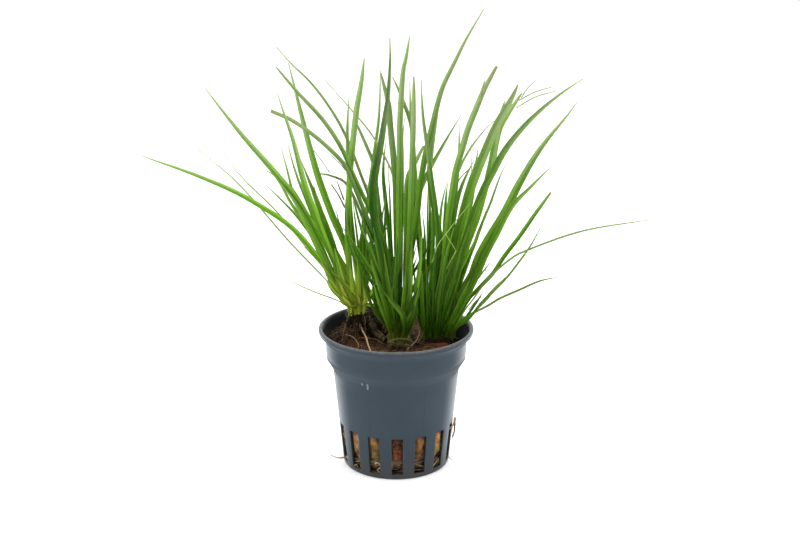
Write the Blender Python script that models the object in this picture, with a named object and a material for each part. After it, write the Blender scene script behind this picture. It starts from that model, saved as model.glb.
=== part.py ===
"""Potted dwarf Japanese sweet flag (Acorus gramineus 'Pusillus').

A slotted net pot holds a mineral-wool plug on a mat of roots. Three crowns of a creeping rhizome
stand on the plug, and each crown carries flat fans of grassy leaves.

The frame has +Z up, the pot's mouth centred on the Z axis and the pot's base on Z = 0. The front is -Y.
A leaf's course is drawn on an upright sheet through the pot's axis, as it is seen from EYE, and each
point is then moved along its line of sight to its own depth.
"""

import math
from collections import namedtuple

import bmesh
import bpy
from mathutils import Vector

MM = 0.001

# Pot
RIM_RADIUS = 27.7 * MM
POT_HEIGHT = 51.0 * MM
BASE_RADIUS = 19.3 * MM
BASE_EDGE = 0.9 * MM
# Share of a rounded edge's size that its middle point stands in from the corner
EDGE_BEND = 0.3
SHOULDER_RADIUS = 22.7 * MM
SHOULDER_HEIGHT = 36.5 * MM
COLLAR_RADIUS = 25.3 * MM
COLLAR_FOOT = 40.2 * MM
COLLAR_HEAD = 46.2 * MM
COLLAR_TAPER = 0.3 * MM
WALL = 0.9 * MM
FLOOR = 1.2 * MM
LIP_EDGE = 1.0 * MM
LIP_ROUNDING = 0.5 * MM
RIM_DEPTH = 1.5 * MM
# Where the flare under the lip bends, as shares of its reach and of its rise
FLARE_BEND = (0.4, 0.6)
SLOT_COUNT = 15
SLOT_SILL = 1.9 * MM
SLOT_HEAD = 16.2 * MM
SLOT_TURN = math.radians(1.3)
COLUMNS_PER_SLOT = 4
POT_COLUMNS = SLOT_COUNT * COLUMNS_PER_SLOT

# Filling
GAP = 0.3 * MM
ROOT_MAT_TOP = 7.4 * MM
ROOT_MAT_EDGE = 1.1 * MM
ROOT_MAT_COLUMNS = 24
PLUG_TOP = 47.3 * MM
PLUG_FOOT_EDGE = 0.8 * MM
PLUG_SHOULDER = 2.0 * MM
PLUG_TOP_RINGS = (0.97, 0.8, 0.62, 0.44, 0.26, 0.1)
PLUG_COLUMNS = 30
PLUG_FLAT = 18.3 * MM
PLUG_ROUGHNESS = 0.8 * MM
LUMP_CENTRE = Vector((-14.0, 1.0)) * MM
LUMP_RADIUS = 9.0 * MM
LUMP_HEIGHT = 2.4 * MM
PIT_CENTRE = Vector((-6.5, 2.5)) * MM
PIT_RADIUS = 3.6 * MM
PIT_DEPTH = 4.5 * MM

# Crowns and leaves
CROWN_SQUARENESS = 8.0
CROWN_SIDES = 16
# Share of a crown's height where it is widest, and its relative widths at the foot, there and at the top
CROWN_WAIST = 0.45
CROWN_SCALES = (0.8, 1.0, 0.96)
EYE = Vector((1.4, -446.0, 208.0)) * MM
LEAF_STEPS = 8
INNER_STEPS = 6
BLADE_THICKNESS = 0.24
THINNEST_BLADE = 0.3 * MM
FOOT_WIDTH = 0.62
FOOT_END = 0.35
TIP_START = 0.5
TIP_POWER = 2.6
POINT_WIDTH = 0.12
BLUNT_WIDTH = 0.55
DEPTH_POWER = 1.25

Crown = namedtuple("Crown", "centre half_size foot top")
Fan = namedtuple("Fan", "root_depth tip_depth blades")
# A blade has the place of its root across the sheet, its width, its turn in degrees at the tip,
# and its course: points across and up the sheet in mm, from above the root to the tip.
Blade = namedtuple("Blade", "root width turn course blunt", defaults=(False,))

CROWNS = {
    "left": Crown(Vector((-14.0, 3.4)) * MM, Vector((5.4, 7.4)) * MM, 53.6 * MM, 57.7 * MM),
    "middle": Crown(Vector((1.0, -5.0)) * MM, Vector((6.2, 9.0)) * MM, 47.6 * MM, 49.6 * MM),
    "right": Crown(Vector((15.2, 2.4)) * MM, Vector((6.6, 9.8)) * MM, 47.6 * MM, 49.6 * MM),
}

FANS = {
    "left": (
        Fan(-1.0, -23.0, (
            Blade(-18.9, 0.6, 0, ((-30.5, 64.6), (-38.2, 68.3))),
            Blade(-18.0, 1.7, 35, ((-33.6, 84.8), (-50.7, 97.7), (-67.7, 105.9), (-89.1, 113.7))),
            Blade(-16.5, 2.1, 20,
                  ((-19.6, 64.6), (-24.0, 75.0), (-32.9, 95.0), (-40.1, 105.3), (-53.4, 121.4),
                   (-64.7, 136.5))),
            Blade(-14.9, 2.0, -15,
                  ((-17.6, 64.6), (-21.9, 75.0), (-28.7, 93.9), (-32.1, 104.6), (-35.3, 118.6),
                   (-38.0, 127.3), (-40.2, 134.5))),
            Blade(-13.2, 2.0, 15,
                  ((-15.6, 64.6), (-16.9, 77.6), (-16.5, 93.9), (-15.7, 108.1), (-14.6, 118.6),
                   (-13.3, 129.0), (-11.5, 139.2), (-10.6, 146.7))),
        )),
        Fan(2.5, -4.0, (
            Blade(-18.4, 0.6, 0, ((-27.4, 71.3), (-37.6, 82.7), (-54.5, 103.2), (-67.8, 115.3))),
            Blade(-17.0, 1.2, 50,
                  ((-22.3, 69.8), (-29.1, 83.8), (-34.2, 91.4), (-39.6, 97.5), (-46.3, 104.2))),
            Blade(-15.0, 1.2, -40,
                  ((-24.0, 80.0), (-31.5, 92.5), (-35.7, 100.0), (-37.6, 108.1), (-39.8, 117.5))),
            Blade(-12.8, 2.3, 10,
                  ((-15.6, 66.5), (-17.6, 80.1), (-22.0, 91.4), (-26.5, 104.6), (-29.3, 115.1),
                   (-32.3, 128.0), (-36.2, 145.0))),
            Blade(-10.8, 1.3, -25,
                  ((-13.1, 66.5), (-14.6, 79.4), (-16.0, 93.9), (-16.5, 108.1), (-16.7, 122.1),
                   (-15.9, 134.1))),
        )),
        Fan(6.0, 16.0, (
            Blade(-17.9, 0.6, 0, ((-33.5, 83.0), (-42.1, 93.9), (-53.9, 106.3), (-59.4, 114.8))),
            Blade(-16.2, 1.4, 45,
                  ((-21.9, 71.3), (-26.2, 79.4), (-28.4, 83.5), (-36.0, 95.8), (-41.8, 106.0),
                   (-46.9, 108.8))),
            Blade(-14.2, 1.3, -45,
                  ((-20.0, 71.3), (-24.1, 79.4), (-27.3, 86.7), (-31.3, 97.5), (-33.9, 104.6),
                   (-35.9, 111.6), (-37.5, 119.3))),
            Blade(-12.2, 2.0, 20,
                  ((-18.1, 71.3), (-21.9, 79.4), (-26.8, 95.7), (-29.4, 102.8), (-32.7, 111.6))),
            Blade(-10.0, 1.3, -30,
                  ((-12.8, 68.4), (-12.7, 79.4), (-10.5, 92.1), (-9.0, 103.9), (-7.4, 115.1),
                   (-5.9, 126.6), (-5.2, 142.6))),
        )),
    ),
    "middle": (
        Fan(-11.0, -32.0, (
            Blade(-0.8, 2.5, 10,
                  ((-5.0, 75.7), (-7.7, 92.1), (-7.8, 101.0), (-6.9, 108.1), (-5.5, 115.1),
                   (-3.8, 125.6), (-2.6, 134.1), (-1.9, 146.0), (-2.0, 153.3))),
            Blade(2.2, 1.7, -20,
                  ((1.0, 75.7), (1.0, 95.0), (1.2, 111.6), (1.2, 122.1), (1.7, 133.5), (2.4, 142.6),
                   (3.4, 147.0), (4.6, 153.7))),
            Blade(4.7, 1.9, 25,
                  ((4.0, 64.6), (4.9, 86.6), (5.5, 104.6), (5.8, 115.1), (6.1, 123.8), (6.2, 135.8),
                   (6.1, 140.3))),
        )),
        Fan(-8.0, -20.0, (
            Blade(-3.3, 1.3, -35,
                  ((-4.5, 72.0), (-6.2, 82.0), (-10.6, 92.1), (-14.9, 103.2), (-17.6, 109.5),
                   (-22.6, 115.1), (-28.7, 120.5), (-36.1, 125.6), (-42.7, 128.5)), True),
            Blade(-1.4, 1.3, 30,
                  ((-2.6, 72.0), (-4.2, 82.0), (-8.4, 92.5), (-12.1, 100.7), (-15.5, 108.5),
                   (-18.2, 115.1), (-21.8, 121.4), (-26.1, 127.3), (-33.1, 135.0), (-40.3, 143.6))),
            Blade(0.6, 2.1, 20,
                  ((0.5, 75.7), (0.2, 92.1), (0.0, 102.8), (-0.8, 113.4), (-1.8, 123.8), (-2.3, 130.7),
                   (-3.7, 136.5), (-5.1, 141.8))),
            Blade(2.9, 2.0, 25,
                  ((4.3, 72.0), (7.2, 90.3), (8.3, 101.0), (9.3, 108.1), (10.6, 115.1), (12.2, 122.1),
                   (13.8, 129.0), (15.6, 135.8), (17.1, 139.4), (20.3, 146.0), (23.3, 152.3),
                   (29.3, 162.9))),
        )),
        Fan(-5.0, -4.0, (
            Blade(-3.6, 1.0, 0,
                  ((-4.9, 76.5), (-6.5, 86.0), (-8.7, 96.4), (-12.1, 106.4), (-16.4, 118.3),
                   (-21.1, 127.6), (-28.4, 137.9), (-35.7, 145.2), (-40.1, 150.3))),
            Blade(-1.5, 1.3, 15,
                  ((-3.4, 78.0), (-4.4, 84.0), (-6.0, 96.8), (-6.9, 104.6), (-7.9, 110.9),
                   (-9.9, 116.2), (-13.5, 124.6)), True),
            Blade(2.0, 1.3, -30, ((1.8, 90.2), (2.1, 105.0), (2.2, 115.1), (2.3, 120.4), (3.0, 126.3))),
            Blade(4.6, 1.5, 35,
                  ((4.9, 79.4), (5.6, 91.4), (7.6, 98.5), (11.7, 108.1), (16.8, 117.7), (22.3, 127.4))),
        )),
        Fan(-2.0, 8.0, (
            Blade(-3.8, 1.1, 30,
                  ((-5.6, 72.0), (-11.9, 92.0), (-17.3, 103.5), (-22.8, 106.3), (-26.3, 106.9))),
            Blade(-0.8, 0.7, 0,
                  ((1.0, 83.0), (0.4, 99.3), (-1.7, 108.1), (-4.8, 114.5), (-8.2, 120.4),
                   (-13.3, 126.9), (-24.0, 139.2))),
            Blade(3.0, 1.1, 0,
                  ((4.9, 86.6), (6.2, 108.1), (5.5, 122.1), (4.5, 126.6), (2.8, 131.1), (0.8, 136.2),
                   (-1.2, 140.4))),
        )),
        Fan(1.0, 24.0, (
            Blade(-2.4, 1.6, 0,
                  ((-2.1, 83.0), (-3.1, 92.0), (-3.9, 100.0), (-4.4, 106.0), (-4.2, 111.6),
                   (-3.4, 118.3))),
            Blade(1.2, 2.5, 30, ((0.9, 85.0), (0.7, 102.0), (0.6, 117.0))),
            Blade(4.6, 1.8, 20,
                  ((3.6, 83.0), (3.5, 92.0), (3.7, 99.6), (4.3, 106.0), (6.4, 110.0),
                   (9.6, 116.6)), True),
        )),
    ),
    "right": (
        Fan(-5.0, -26.0, (
            Blade(10.6, 1.4, -25,
                  ((14.3, 75.7), (14.6, 84.0), (13.8, 93.9), (12.2, 104.6), (10.8, 115.1), (9.3, 125.6),
                   (8.8, 132.4), (8.6, 139.2))),
            Blade(12.8, 2.0, 10,
                  ((16.8, 75.7), (18.2, 90.3), (19.6, 101.0), (20.7, 108.1), (22.7, 115.1),
                   (24.6, 122.1), (27.2, 129.0), (29.9, 135.8), (32.5, 140.9), (34.1, 143.9)), True),
            Blade(15.0, 2.5, -15,
                  ((20.6, 66.5), (23.4, 79.4), (26.2, 89.6), (29.8, 100.0), (33.5, 107.8),
                   (37.3, 115.0), (42.7, 122.3), (49.4, 129.2), (56.6, 135.1), (63.2, 139.6))),
            Blade(17.6, 2.0, 30,
                  ((25.6, 63.1), (28.8, 70.2), (31.7, 77.6), (35.3, 84.9), (40.4, 95.0), (46.8, 102.1),
                   (54.1, 109.9))),
            Blade(20.0, 1.3, -40,
                  ((24.4, 57.0), (27.6, 61.5), (30.6, 66.2), (35.5, 71.9), (39.0, 75.1), (43.6, 78.3),
                   (64.2, 86.1), (85.2, 89.9), (95.3, 90.8))),
        )),
        Fan(-1.5, -13.0, (
            Blade(10.4, 2.1, 20,
                  ((15.4, 75.7), (14.2, 90.0), (12.4, 100.5), (11.7, 107.0), (12.1, 113.0),
                   (13.3, 122.1), (15.3, 135.0))),
            Blade(12.4, 1.5, -20,
                  ((17.5, 75.7), (19.6, 92.0), (21.0, 104.6), (21.6, 115.1), (21.6, 124.3))),
            Blade(14.4, 2.9, 15,
                  ((18.8, 68.0), (21.9, 84.9), (25.4, 99.3), (28.3, 108.1), (30.6, 114.1),
                   (34.0, 122.5), (36.9, 128.2), (39.7, 133.6), (41.4, 137.7))),
            Blade(16.8, 3.2, -15,
                  ((22.2, 60.3), (25.8, 67.7), (29.0, 76.8), (32.7, 84.1), (37.5, 92.4), (42.3, 102.8),
                   (47.7, 112.8), (52.2, 119.4), (57.5, 126.0), (61.7, 131.8))),
            Blade(20.2, 1.5, 25,
                  ((25.8, 61.2), (29.3, 65.2), (34.2, 70.7), (38.0, 76.8), (43.4, 84.4), (48.1, 91.7),
                   (53.8, 100.2)), True),
        )),
        Fan(2.0, 10.0, (
            Blade(10.0, 2.2, -20,
                  ((10.3, 64.6), (8.2, 83.0), (6.7, 101.0), (5.1, 125.5), (4.7, 138.5))),
            Blade(12.2, 1.0, 0,
                  ((15.6, 70.0), (18.7, 92.1), (20.0, 100.3), (21.3, 106.7), (23.2, 111.4),
                   (25.4, 115.4), (28.1, 119.3), (31.5, 123.4), (34.5, 125.9))),
            Blade(14.3, 2.2, 10,
                  ((20.6, 66.5), (25.0, 81.2), (28.6, 92.0), (32.4, 108.1), (35.5, 126.2),
                   (37.0, 132.0))),
            Blade(16.6, 1.0, 0,
                  ((22.3, 65.3), (25.0, 73.5), (28.2, 84.0), (31.2, 92.2), (32.6, 95.7), (34.4, 101.2),
                   (36.4, 107.0), (38.8, 111.6))),
            Blade(19.4, 1.1, 0,
                  ((24.6, 53.8), (30.3, 59.0), (34.5, 64.0), (39.1, 69.2), (43.7, 75.6), (47.1, 80.8),
                   (51.7, 89.9))),
        )),
        Fan(5.5, 24.0, (
            Blade(10.8, 1.6, 30, ((15.5, 68.3), (16.9, 83.0), (17.4, 97.5), (18.0, 104.6))),
            Blade(12.9, 2.8, -15,
                  ((19.0, 72.0), (21.7, 86.6), (24.7, 97.5), (30.2, 115.1), (33.2, 122.1))),
            Blade(15.4, 2.2, 15,
                  ((22.2, 72.0), (26.7, 89.6), (29.4, 97.5), (31.7, 104.6), (33.4, 111.2),
                   (34.4, 117.5), (35.7, 123.0), (38.0, 127.2), (42.9, 135.0))),
            Blade(20.2, 0.9, 0,
                  ((25.6, 55.0), (32.3, 58.6), (36.9, 61.5), (43.9, 64.8), (50.9, 68.0), (57.9, 69.6))),
        )),
    ),
}

# Short inner blades that grow as one with their crown, before and behind its fans
INNER_FANS = {
    "left": (
        Fan(-3.0, -10.0, (
            Blade(-17.8, 1.2, 0, ((-22.4, 64.3), (-25.1, 69.1))),
            Blade(-16.0, 1.6, 0, ((-18.8, 68.0), (-21.6, 80.0))),
            Blade(-14.2, 1.5, 0, ((-15.6, 66.0), (-16.2, 74.0))),
            Blade(-12.5, 1.5, 0, ((-13.2, 68.0), (-13.6, 76.0))),
            Blade(-10.5, 1.4, 0, ((-8.4, 64.6), (-7.8, 69.0))),
        )),
        Fan(9.2, 38.0, (
            Blade(-17.0, 1.6, 20, ((-24.5, 76.0), (-31.0, 90.0))),
            Blade(-15.2, 1.6, 10, ((-22.0, 80.0), (-29.2, 100.0))),
            Blade(-13.2, 1.6, 0, ((-15.2, 82.0), (-16.2, 102.0), (-17.2, 116.0))),
            Blade(-11.0, 1.4, -20, ((-12.6, 72.0), (-13.0, 80.0))),
        )),
    ),
    "middle": (
        Fan(-12.6, -22.0, (
            Blade(-4.1, 1.6, 0, ((-6.8, 62.4), (-7.8, 66.9))),
            Blade(-2.6, 1.7, 0, ((-4.8, 62.0), (-9.0, 76.0))),
            Blade(-0.9, 1.6, 0, ((-2.4, 64.0), (-4.2, 78.0))),
            Blade(0.7, 1.6, 0, ((0.0, 66.0), (0.6, 86.0))),
            Blade(2.3, 1.6, 0, ((2.6, 62.0), (3.4, 72.0))),
            Blade(3.9, 1.5, 0, ((4.8, 62.8), (5.2, 72.1), (5.4, 79.4))),
            Blade(5.6, 1.7, 0, ((6.8, 62.0), (8.5, 75.7), (8.9, 84.5))),
        )),
        Fan(2.8, 42.0, (
            Blade(-4.2, 1.4, 0, ((-8.1, 68.7), (-10.2, 79.4), (-13.1, 90.7), (-15.9, 102.8))),
            Blade(-2.7, 1.6, 20, ((-5.0, 75.0), (-5.6, 88.0), (-7.6, 100.0), (-8.4, 108.0))),
            Blade(-1.1, 1.6, 10, ((-2.0, 75.7), (-2.8, 91.0), (-3.2, 100.0))),
            Blade(1.6, 1.6, 0, ((1.3, 80.0), (1.0, 98.0), (0.8, 112.0))),
            Blade(3.5, 2.0, 0, ((3.4, 75.7), (3.6, 93.9), (3.6, 105.6))),
            Blade(5.4, 1.6, -20, ((5.5, 75.0), (6.0, 92.0), (6.4, 104.0))),
        )),
    ),
    "right": (
        Fan(-6.1, -16.0, (
            Blade(9.4, 1.5, 0, ((9.2, 62.0), (9.0, 72.0))),
            Blade(11.0, 1.6, 0, ((11.2, 62.0), (10.6, 76.0))),
            Blade(12.7, 1.7, 0, ((13.4, 64.0), (13.6, 80.0))),
            Blade(14.4, 1.7, 0, ((16.0, 64.0), (18.0, 78.0))),
            Blade(16.1, 1.7, 0, ((18.2, 62.0), (21.0, 72.0))),
            Blade(18.0, 1.7, 0, ((22.4, 60.0), (26.4, 69.0))),
            Blade(20.1, 1.7, 0, ((23.4, 53.2), (26.8, 55.4))),
        )),
        Fan(10.8, 46.0, (
            Blade(9.4, 1.2, 0, ((11.0, 75.7), (11.0, 92.1), (11.2, 104.6))),
            Blade(11.0, 1.6, 20, ((13.0, 80.0), (12.9, 98.0), (12.3, 110.0))),
            Blade(12.6, 1.8, 10, ((15.0, 80.0), (15.8, 94.6), (17.5, 103.5))),
            Blade(14.2, 1.6, 0,
                  ((16.9, 80.0), (18.8, 97.0), (20.6, 108.0), (23.4, 117.5), (28.0, 132.8),
                   (30.0, 139.0))),
            Blade(15.8, 2.0, 0,
                  ((19.6, 80.0), (22.0, 90.7), (24.8, 102.1), (27.7, 111.6), (28.3, 116.9))),
            Blade(17.4, 1.8, 0, ((22.0, 78.0), (25.4, 92.0), (28.0, 106.0))),
            Blade(19.0, 1.6, 0, ((22.8, 68.0), (25.4, 76.1), (28.6, 84.9))),
            Blade(20.6, 1.6, -20, ((30.0, 74.0), (40.0, 94.0), (46.6, 102.0))),
        )),
    ),
}

# The bare rhizome from the left crown down to the plug, as centre points and half its width, in mm
RHIZOME_COURSE = ((-13.0, 2.6, 55.6), (-10.4, 1.6, 54.6), (-8.6, -2.6, 51.6), (-7.4, -6.2, 48.8))
RHIZOME_RADII = (2.2, 1.9, 1.5, 1.3)
RHIZOME_SIDES = 8

# Roots outside the slots, as centre points in mm
HANGING_ROOT = ((18.3, -6.0, 13.6), (19.8, -6.3, 14.6), (20.7, -6.3, 15.8), (20.9, -5.8, 17.6),
                (21.1, -5.1, 18.3), (21.3, -4.5, 17.6), (21.2, -4.4, 15.6), (21.2, -4.3, 13.4),
                (20.9, -4.4, 11.4), (20.4, -4.6, 9.6))
HANGING_ROOT_RADIUS = 0.28 * MM
STRAY_ROOT = ((-17.7, -6.2, 3.0), (-18.8, -6.5, 2.8), (-20.2, -6.8, 2.6), (-22.0, -7.0, 3.2),
              (-24.1, -7.2, 4.4))
STRAY_ROOT_RADIUS = 0.22 * MM
ROOT_SIDES = 4
# A direction that no root or rhizome runs along, from which its rings are set square
RING_GUIDE = Vector((0.0, 1.0, 0.31))

# Colours, roughness and metallic values
POT_PLASTIC = ((0.075, 0.1, 0.125, 1.0), 0.42, 0.0)
MINERAL_WOOL = ((0.3, 0.17, 0.09, 1.0), 0.95, 0.0)
DARK_ROOTS = ((0.06, 0.035, 0.02, 1.0), 0.9, 0.0)
PALE_ROOT = ((0.42, 0.33, 0.24, 1.0), 0.7, 0.0)
CROWN_GREEN = ((0.22, 0.27, 0.06, 1.0), 0.6, 0.0)
LEAF_GREEN = ((0.1, 0.24, 0.03, 1.0), 0.45, 0.0)


def clear_scene():
    for thing in list(bpy.data.objects):
        bpy.data.objects.remove(thing, do_unlink=True)


def make_material(name, look):
    colour, roughness, metallic = look
    material = bpy.data.materials.new(name)
    material.use_nodes = True
    shader = material.node_tree.nodes["Principled BSDF"]
    shader.inputs["Base Color"].default_value = colour
    shader.inputs["Roughness"].default_value = roughness
    shader.inputs["Metallic"].default_value = metallic
    return material


def add_object(name, mesh_data, material, smooth_angle=40.0):
    """Turn mesh data into a named, smoothly shaded object."""
    bmesh.ops.recalc_face_normals(mesh_data, faces=mesh_data.faces)
    mesh = bpy.data.meshes.new(name)
    mesh_data.to_mesh(mesh)
    mesh_data.free()
    mesh.materials.append(material)
    mesh.shade_smooth()
    mesh.set_sharp_from_angle(angle=math.radians(smooth_angle))
    thing = bpy.data.objects.new(name, mesh)
    bpy.context.scene.collection.objects.link(thing)
    return thing


def turn_profile(profile, columns, start):
    """Spin a profile of (radius, height) points about Z; the ends on the axis close the body."""
    mesh_data = bmesh.new()
    direction = Vector((math.cos(start), math.sin(start), 0.0))
    corners = [mesh_data.verts.new(direction * radius + Vector((0.0, 0.0, height)))
               for radius, height in profile]
    edges = [mesh_data.edges.new(pair) for pair in zip(corners, corners[1:])]
    bmesh.ops.spin(mesh_data, geom=corners + edges, axis=(0.0, 0.0, 1.0), cent=(0.0, 0.0, 0.0),
                   angle=math.tau, steps=columns, use_merge=True)
    bmesh.ops.remove_doubles(mesh_data, verts=mesh_data.verts, dist=1e-6)
    return mesh_data


def add_ring_faces(mesh_data, rings):
    """Skin a row of equal rings of vertices and close both ends."""
    for lower, upper in zip(rings, rings[1:]):
        count = len(lower)
        for index in range(count):
            after = (index + 1) % count
            mesh_data.faces.new((lower[index], lower[after], upper[after], upper[index]))
    mesh_data.faces.new(reversed(rings[0]))
    mesh_data.faces.new(rings[-1])


# Pot

def wall_radius(height):
    """Outer radius of the pot's tapered wall at a height below the shoulder."""
    rise = (height - BASE_EDGE) / (SHOULDER_HEIGHT - BASE_EDGE)
    return BASE_RADIUS + (SHOULDER_RADIUS - BASE_RADIUS) * rise


def bore_radius(height):
    """Inner radius of the pot at a height."""
    if height < SHOULDER_HEIGHT:
        return wall_radius(height) - WALL
    rise = min((height - SHOULDER_HEIGHT) / (COLLAR_FOOT - SHOULDER_HEIGHT), 1.0)
    return SHOULDER_RADIUS + (COLLAR_RADIUS - SHOULDER_RADIUS) * rise - WALL


def pot_profile():
    """Outline of the pot's wall: out from the base's centre, up, over the lip and down inside."""
    flare_reach = RIM_RADIUS - COLLAR_RADIUS
    flare_rise = POT_HEIGHT - RIM_DEPTH - COLLAR_HEAD
    outer = [
        (0.0, 0.0),
        (BASE_RADIUS - BASE_EDGE, 0.0),
        (BASE_RADIUS - EDGE_BEND * BASE_EDGE, EDGE_BEND * BASE_EDGE),
        (BASE_RADIUS, BASE_EDGE),
        (wall_radius(SLOT_SILL), SLOT_SILL),
        (wall_radius(SLOT_HEAD), SLOT_HEAD),
        (SHOULDER_RADIUS, SHOULDER_HEIGHT),
        (COLLAR_RADIUS - COLLAR_TAPER, COLLAR_FOOT),
        (COLLAR_RADIUS, COLLAR_HEAD),
        (COLLAR_RADIUS + FLARE_BEND[0] * flare_reach, COLLAR_HEAD + FLARE_BEND[1] * flare_rise),
        (RIM_RADIUS, POT_HEIGHT - RIM_DEPTH),
        (RIM_RADIUS, POT_HEIGHT - LIP_ROUNDING),
        (RIM_RADIUS - LIP_ROUNDING, POT_HEIGHT),
    ]
    inner = [
        (RIM_RADIUS - LIP_EDGE, POT_HEIGHT),
        (RIM_RADIUS - LIP_EDGE - LIP_ROUNDING, POT_HEIGHT - RIM_DEPTH),
        (bore_radius(COLLAR_HEAD), COLLAR_HEAD),
        (bore_radius(COLLAR_FOOT), COLLAR_FOOT),
        (bore_radius(SHOULDER_HEIGHT), SHOULDER_HEIGHT),
        (bore_radius(SLOT_HEAD), SLOT_HEAD),
        (bore_radius(SLOT_SILL), SLOT_SILL),
        (bore_radius(FLOOR) - EDGE_BEND * FLOOR, FLOOR),
        (0.0, FLOOR),
    ]
    return outer + inner


def cut_slots(mesh_data, start):
    """Take out the wall's faces in each slot and bridge the outer opening to the inner one."""
    pitch = math.tau / SLOT_COUNT
    half_slot = pitch / 4.0
    openings = [[] for _ in range(SLOT_COUNT)]
    for face in mesh_data.faces:
        centre = face.calc_center_median()
        if not SLOT_SILL < centre.z < SLOT_HEAD:
            continue
        angle = (math.atan2(centre.y, centre.x) - start) % math.tau
        index = round(angle / pitch) % SLOT_COUNT
        offset = abs((angle - index * pitch + math.pi) % math.tau - math.pi)
        if offset < half_slot:
            openings[index].append(face)
    for faces in openings:
        inside = set(faces)
        edges = {edge for face in faces for edge in face.edges
                 if any(other not in inside for other in edge.link_faces)}
        bmesh.ops.delete(mesh_data, geom=faces, context="FACES_ONLY")
        spare = [edge for edge in mesh_data.edges if not edge.link_faces]
        bmesh.ops.delete(mesh_data, geom=[edge for edge in spare if edge not in edges], context="EDGES")
        bmesh.ops.bridge_loops(mesh_data, edges=[edge for edge in edges if edge.is_valid])


def build_pot():
    start = SLOT_TURN - math.pi / 2.0
    mesh_data = turn_profile(pot_profile(), POT_COLUMNS, start)
    cut_slots(mesh_data, start)
    return add_object("net_pot", mesh_data, make_material("pot_plastic", POT_PLASTIC))


# Filling

def build_root_mat():
    """The flat mat of roots on the pot's floor, below the plug."""
    foot = FLOOR + GAP
    profile = [
        (0.0, foot),
        (bore_radius(foot) - 2.0 * ROOT_MAT_EDGE, foot),
        (bore_radius(foot) - 2.0 * GAP, foot + ROOT_MAT_EDGE),
        (bore_radius(ROOT_MAT_TOP) - 2.0 * GAP, ROOT_MAT_TOP - ROOT_MAT_EDGE),
        (bore_radius(ROOT_MAT_TOP) - 2.0 * ROOT_MAT_EDGE, ROOT_MAT_TOP),
        (0.0, ROOT_MAT_TOP),
    ]
    mesh_data = turn_profile(profile, ROOT_MAT_COLUMNS, 0.0)
    return add_object("root_mat", mesh_data, make_material("dark_roots", DARK_ROOTS))


def plug_height(across, deep):
    """Height of the plug's uneven top: never above PLUG_TOP but for the lump on its left."""
    x, y = across / MM, deep / MM
    broad = math.sin(0.83 * x + 0.4) * math.sin(0.71 * y - 0.9)
    fine = math.sin(1.7 * x - 1.3 * y)
    height = PLUG_TOP - PLUG_ROUGHNESS * abs(0.5 * broad + 0.3 * fine)
    spot = Vector((across, deep))
    lump = max(0.0, 1.0 - ((spot - LUMP_CENTRE).length / LUMP_RADIUS) ** 2)
    pit = max(0.0, 1.0 - ((spot - PIT_CENTRE).length / PIT_RADIUS) ** 2)
    return height + LUMP_HEIGHT * lump - PIT_DEPTH * pit


def build_plug():
    """The mineral-wool plug: it follows the pot's bore, with a flat cut side and an uneven top."""
    foot = ROOT_MAT_TOP + GAP
    reach = bore_radius(PLUG_TOP) - 2.0 * GAP
    heights = (foot + PLUG_FOOT_EDGE, SLOT_HEAD, SHOULDER_HEIGHT, COLLAR_FOOT, PLUG_TOP - PLUG_SHOULDER)
    side = [(bore_radius(height) - 1.5 * GAP, height) for height in heights]
    top = [(reach * share, PLUG_TOP) for share in PLUG_TOP_RINGS]
    profile = [(0.0, foot), (side[0][0] - PLUG_FOOT_EDGE, foot)] + side + top + [(0.0, PLUG_TOP)]
    mesh_data = turn_profile(profile, PLUG_COLUMNS, 0.0)
    for corner in mesh_data.verts:
        corner.co.x = min(corner.co.x, PLUG_FLAT)
        if corner.co.z > PLUG_TOP - GAP:
            corner.co.z = plug_height(corner.co.x, corner.co.y)
    bmesh.ops.dissolve_degenerate(mesh_data, dist=1e-5, edges=mesh_data.edges)
    return add_object("mineral_wool_plug", mesh_data, make_material("mineral_wool", MINERAL_WOOL))


# Leaves

def to_depth(across, up, depth):
    """Move a point of the upright sheet along its line of sight to a depth, in metres."""
    share = (depth - EYE.y) / (0.0 - EYE.y)
    return Vector((EYE.x + (across - EYE.x) * share, depth, EYE.z + (up - EYE.z) * share))


def smooth_path(points, steps):
    """Even steps along a smooth curve through points, each with its direction."""
    marks = [0.0]
    for before, after in zip(points, points[1:]):
        marks.append(marks[-1] + (after - before).length)
    slopes = []
    for index in range(len(points)):
        low, high = max(index - 1, 0), min(index + 1, len(points) - 1)
        slopes.append((points[high] - points[low]) / (marks[high] - marks[low]))
    path = []
    for step in range(steps + 1):
        mark = marks[-1] * step / steps
        span = max(index for index in range(len(points) - 1) if marks[index] <= mark)
        length = marks[span + 1] - marks[span]
        t = (mark - marks[span]) / length
        start, end = points[span], points[span + 1]
        pull, push = slopes[span] * length, slopes[span + 1] * length
        place = (start * (2 * t ** 3 - 3 * t ** 2 + 1) + pull * (t ** 3 - 2 * t ** 2 + t)
                 + end * (3 * t ** 2 - 2 * t ** 3) + push * (t ** 3 - t ** 2))
        heading = (start * (6 * t ** 2 - 6 * t) + pull * (3 * t ** 2 - 4 * t + 1)
                   + end * (6 * t - 6 * t ** 2) + push * (3 * t ** 2 - 2 * t)).normalized()
        path.append((place, heading))
    return path


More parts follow.
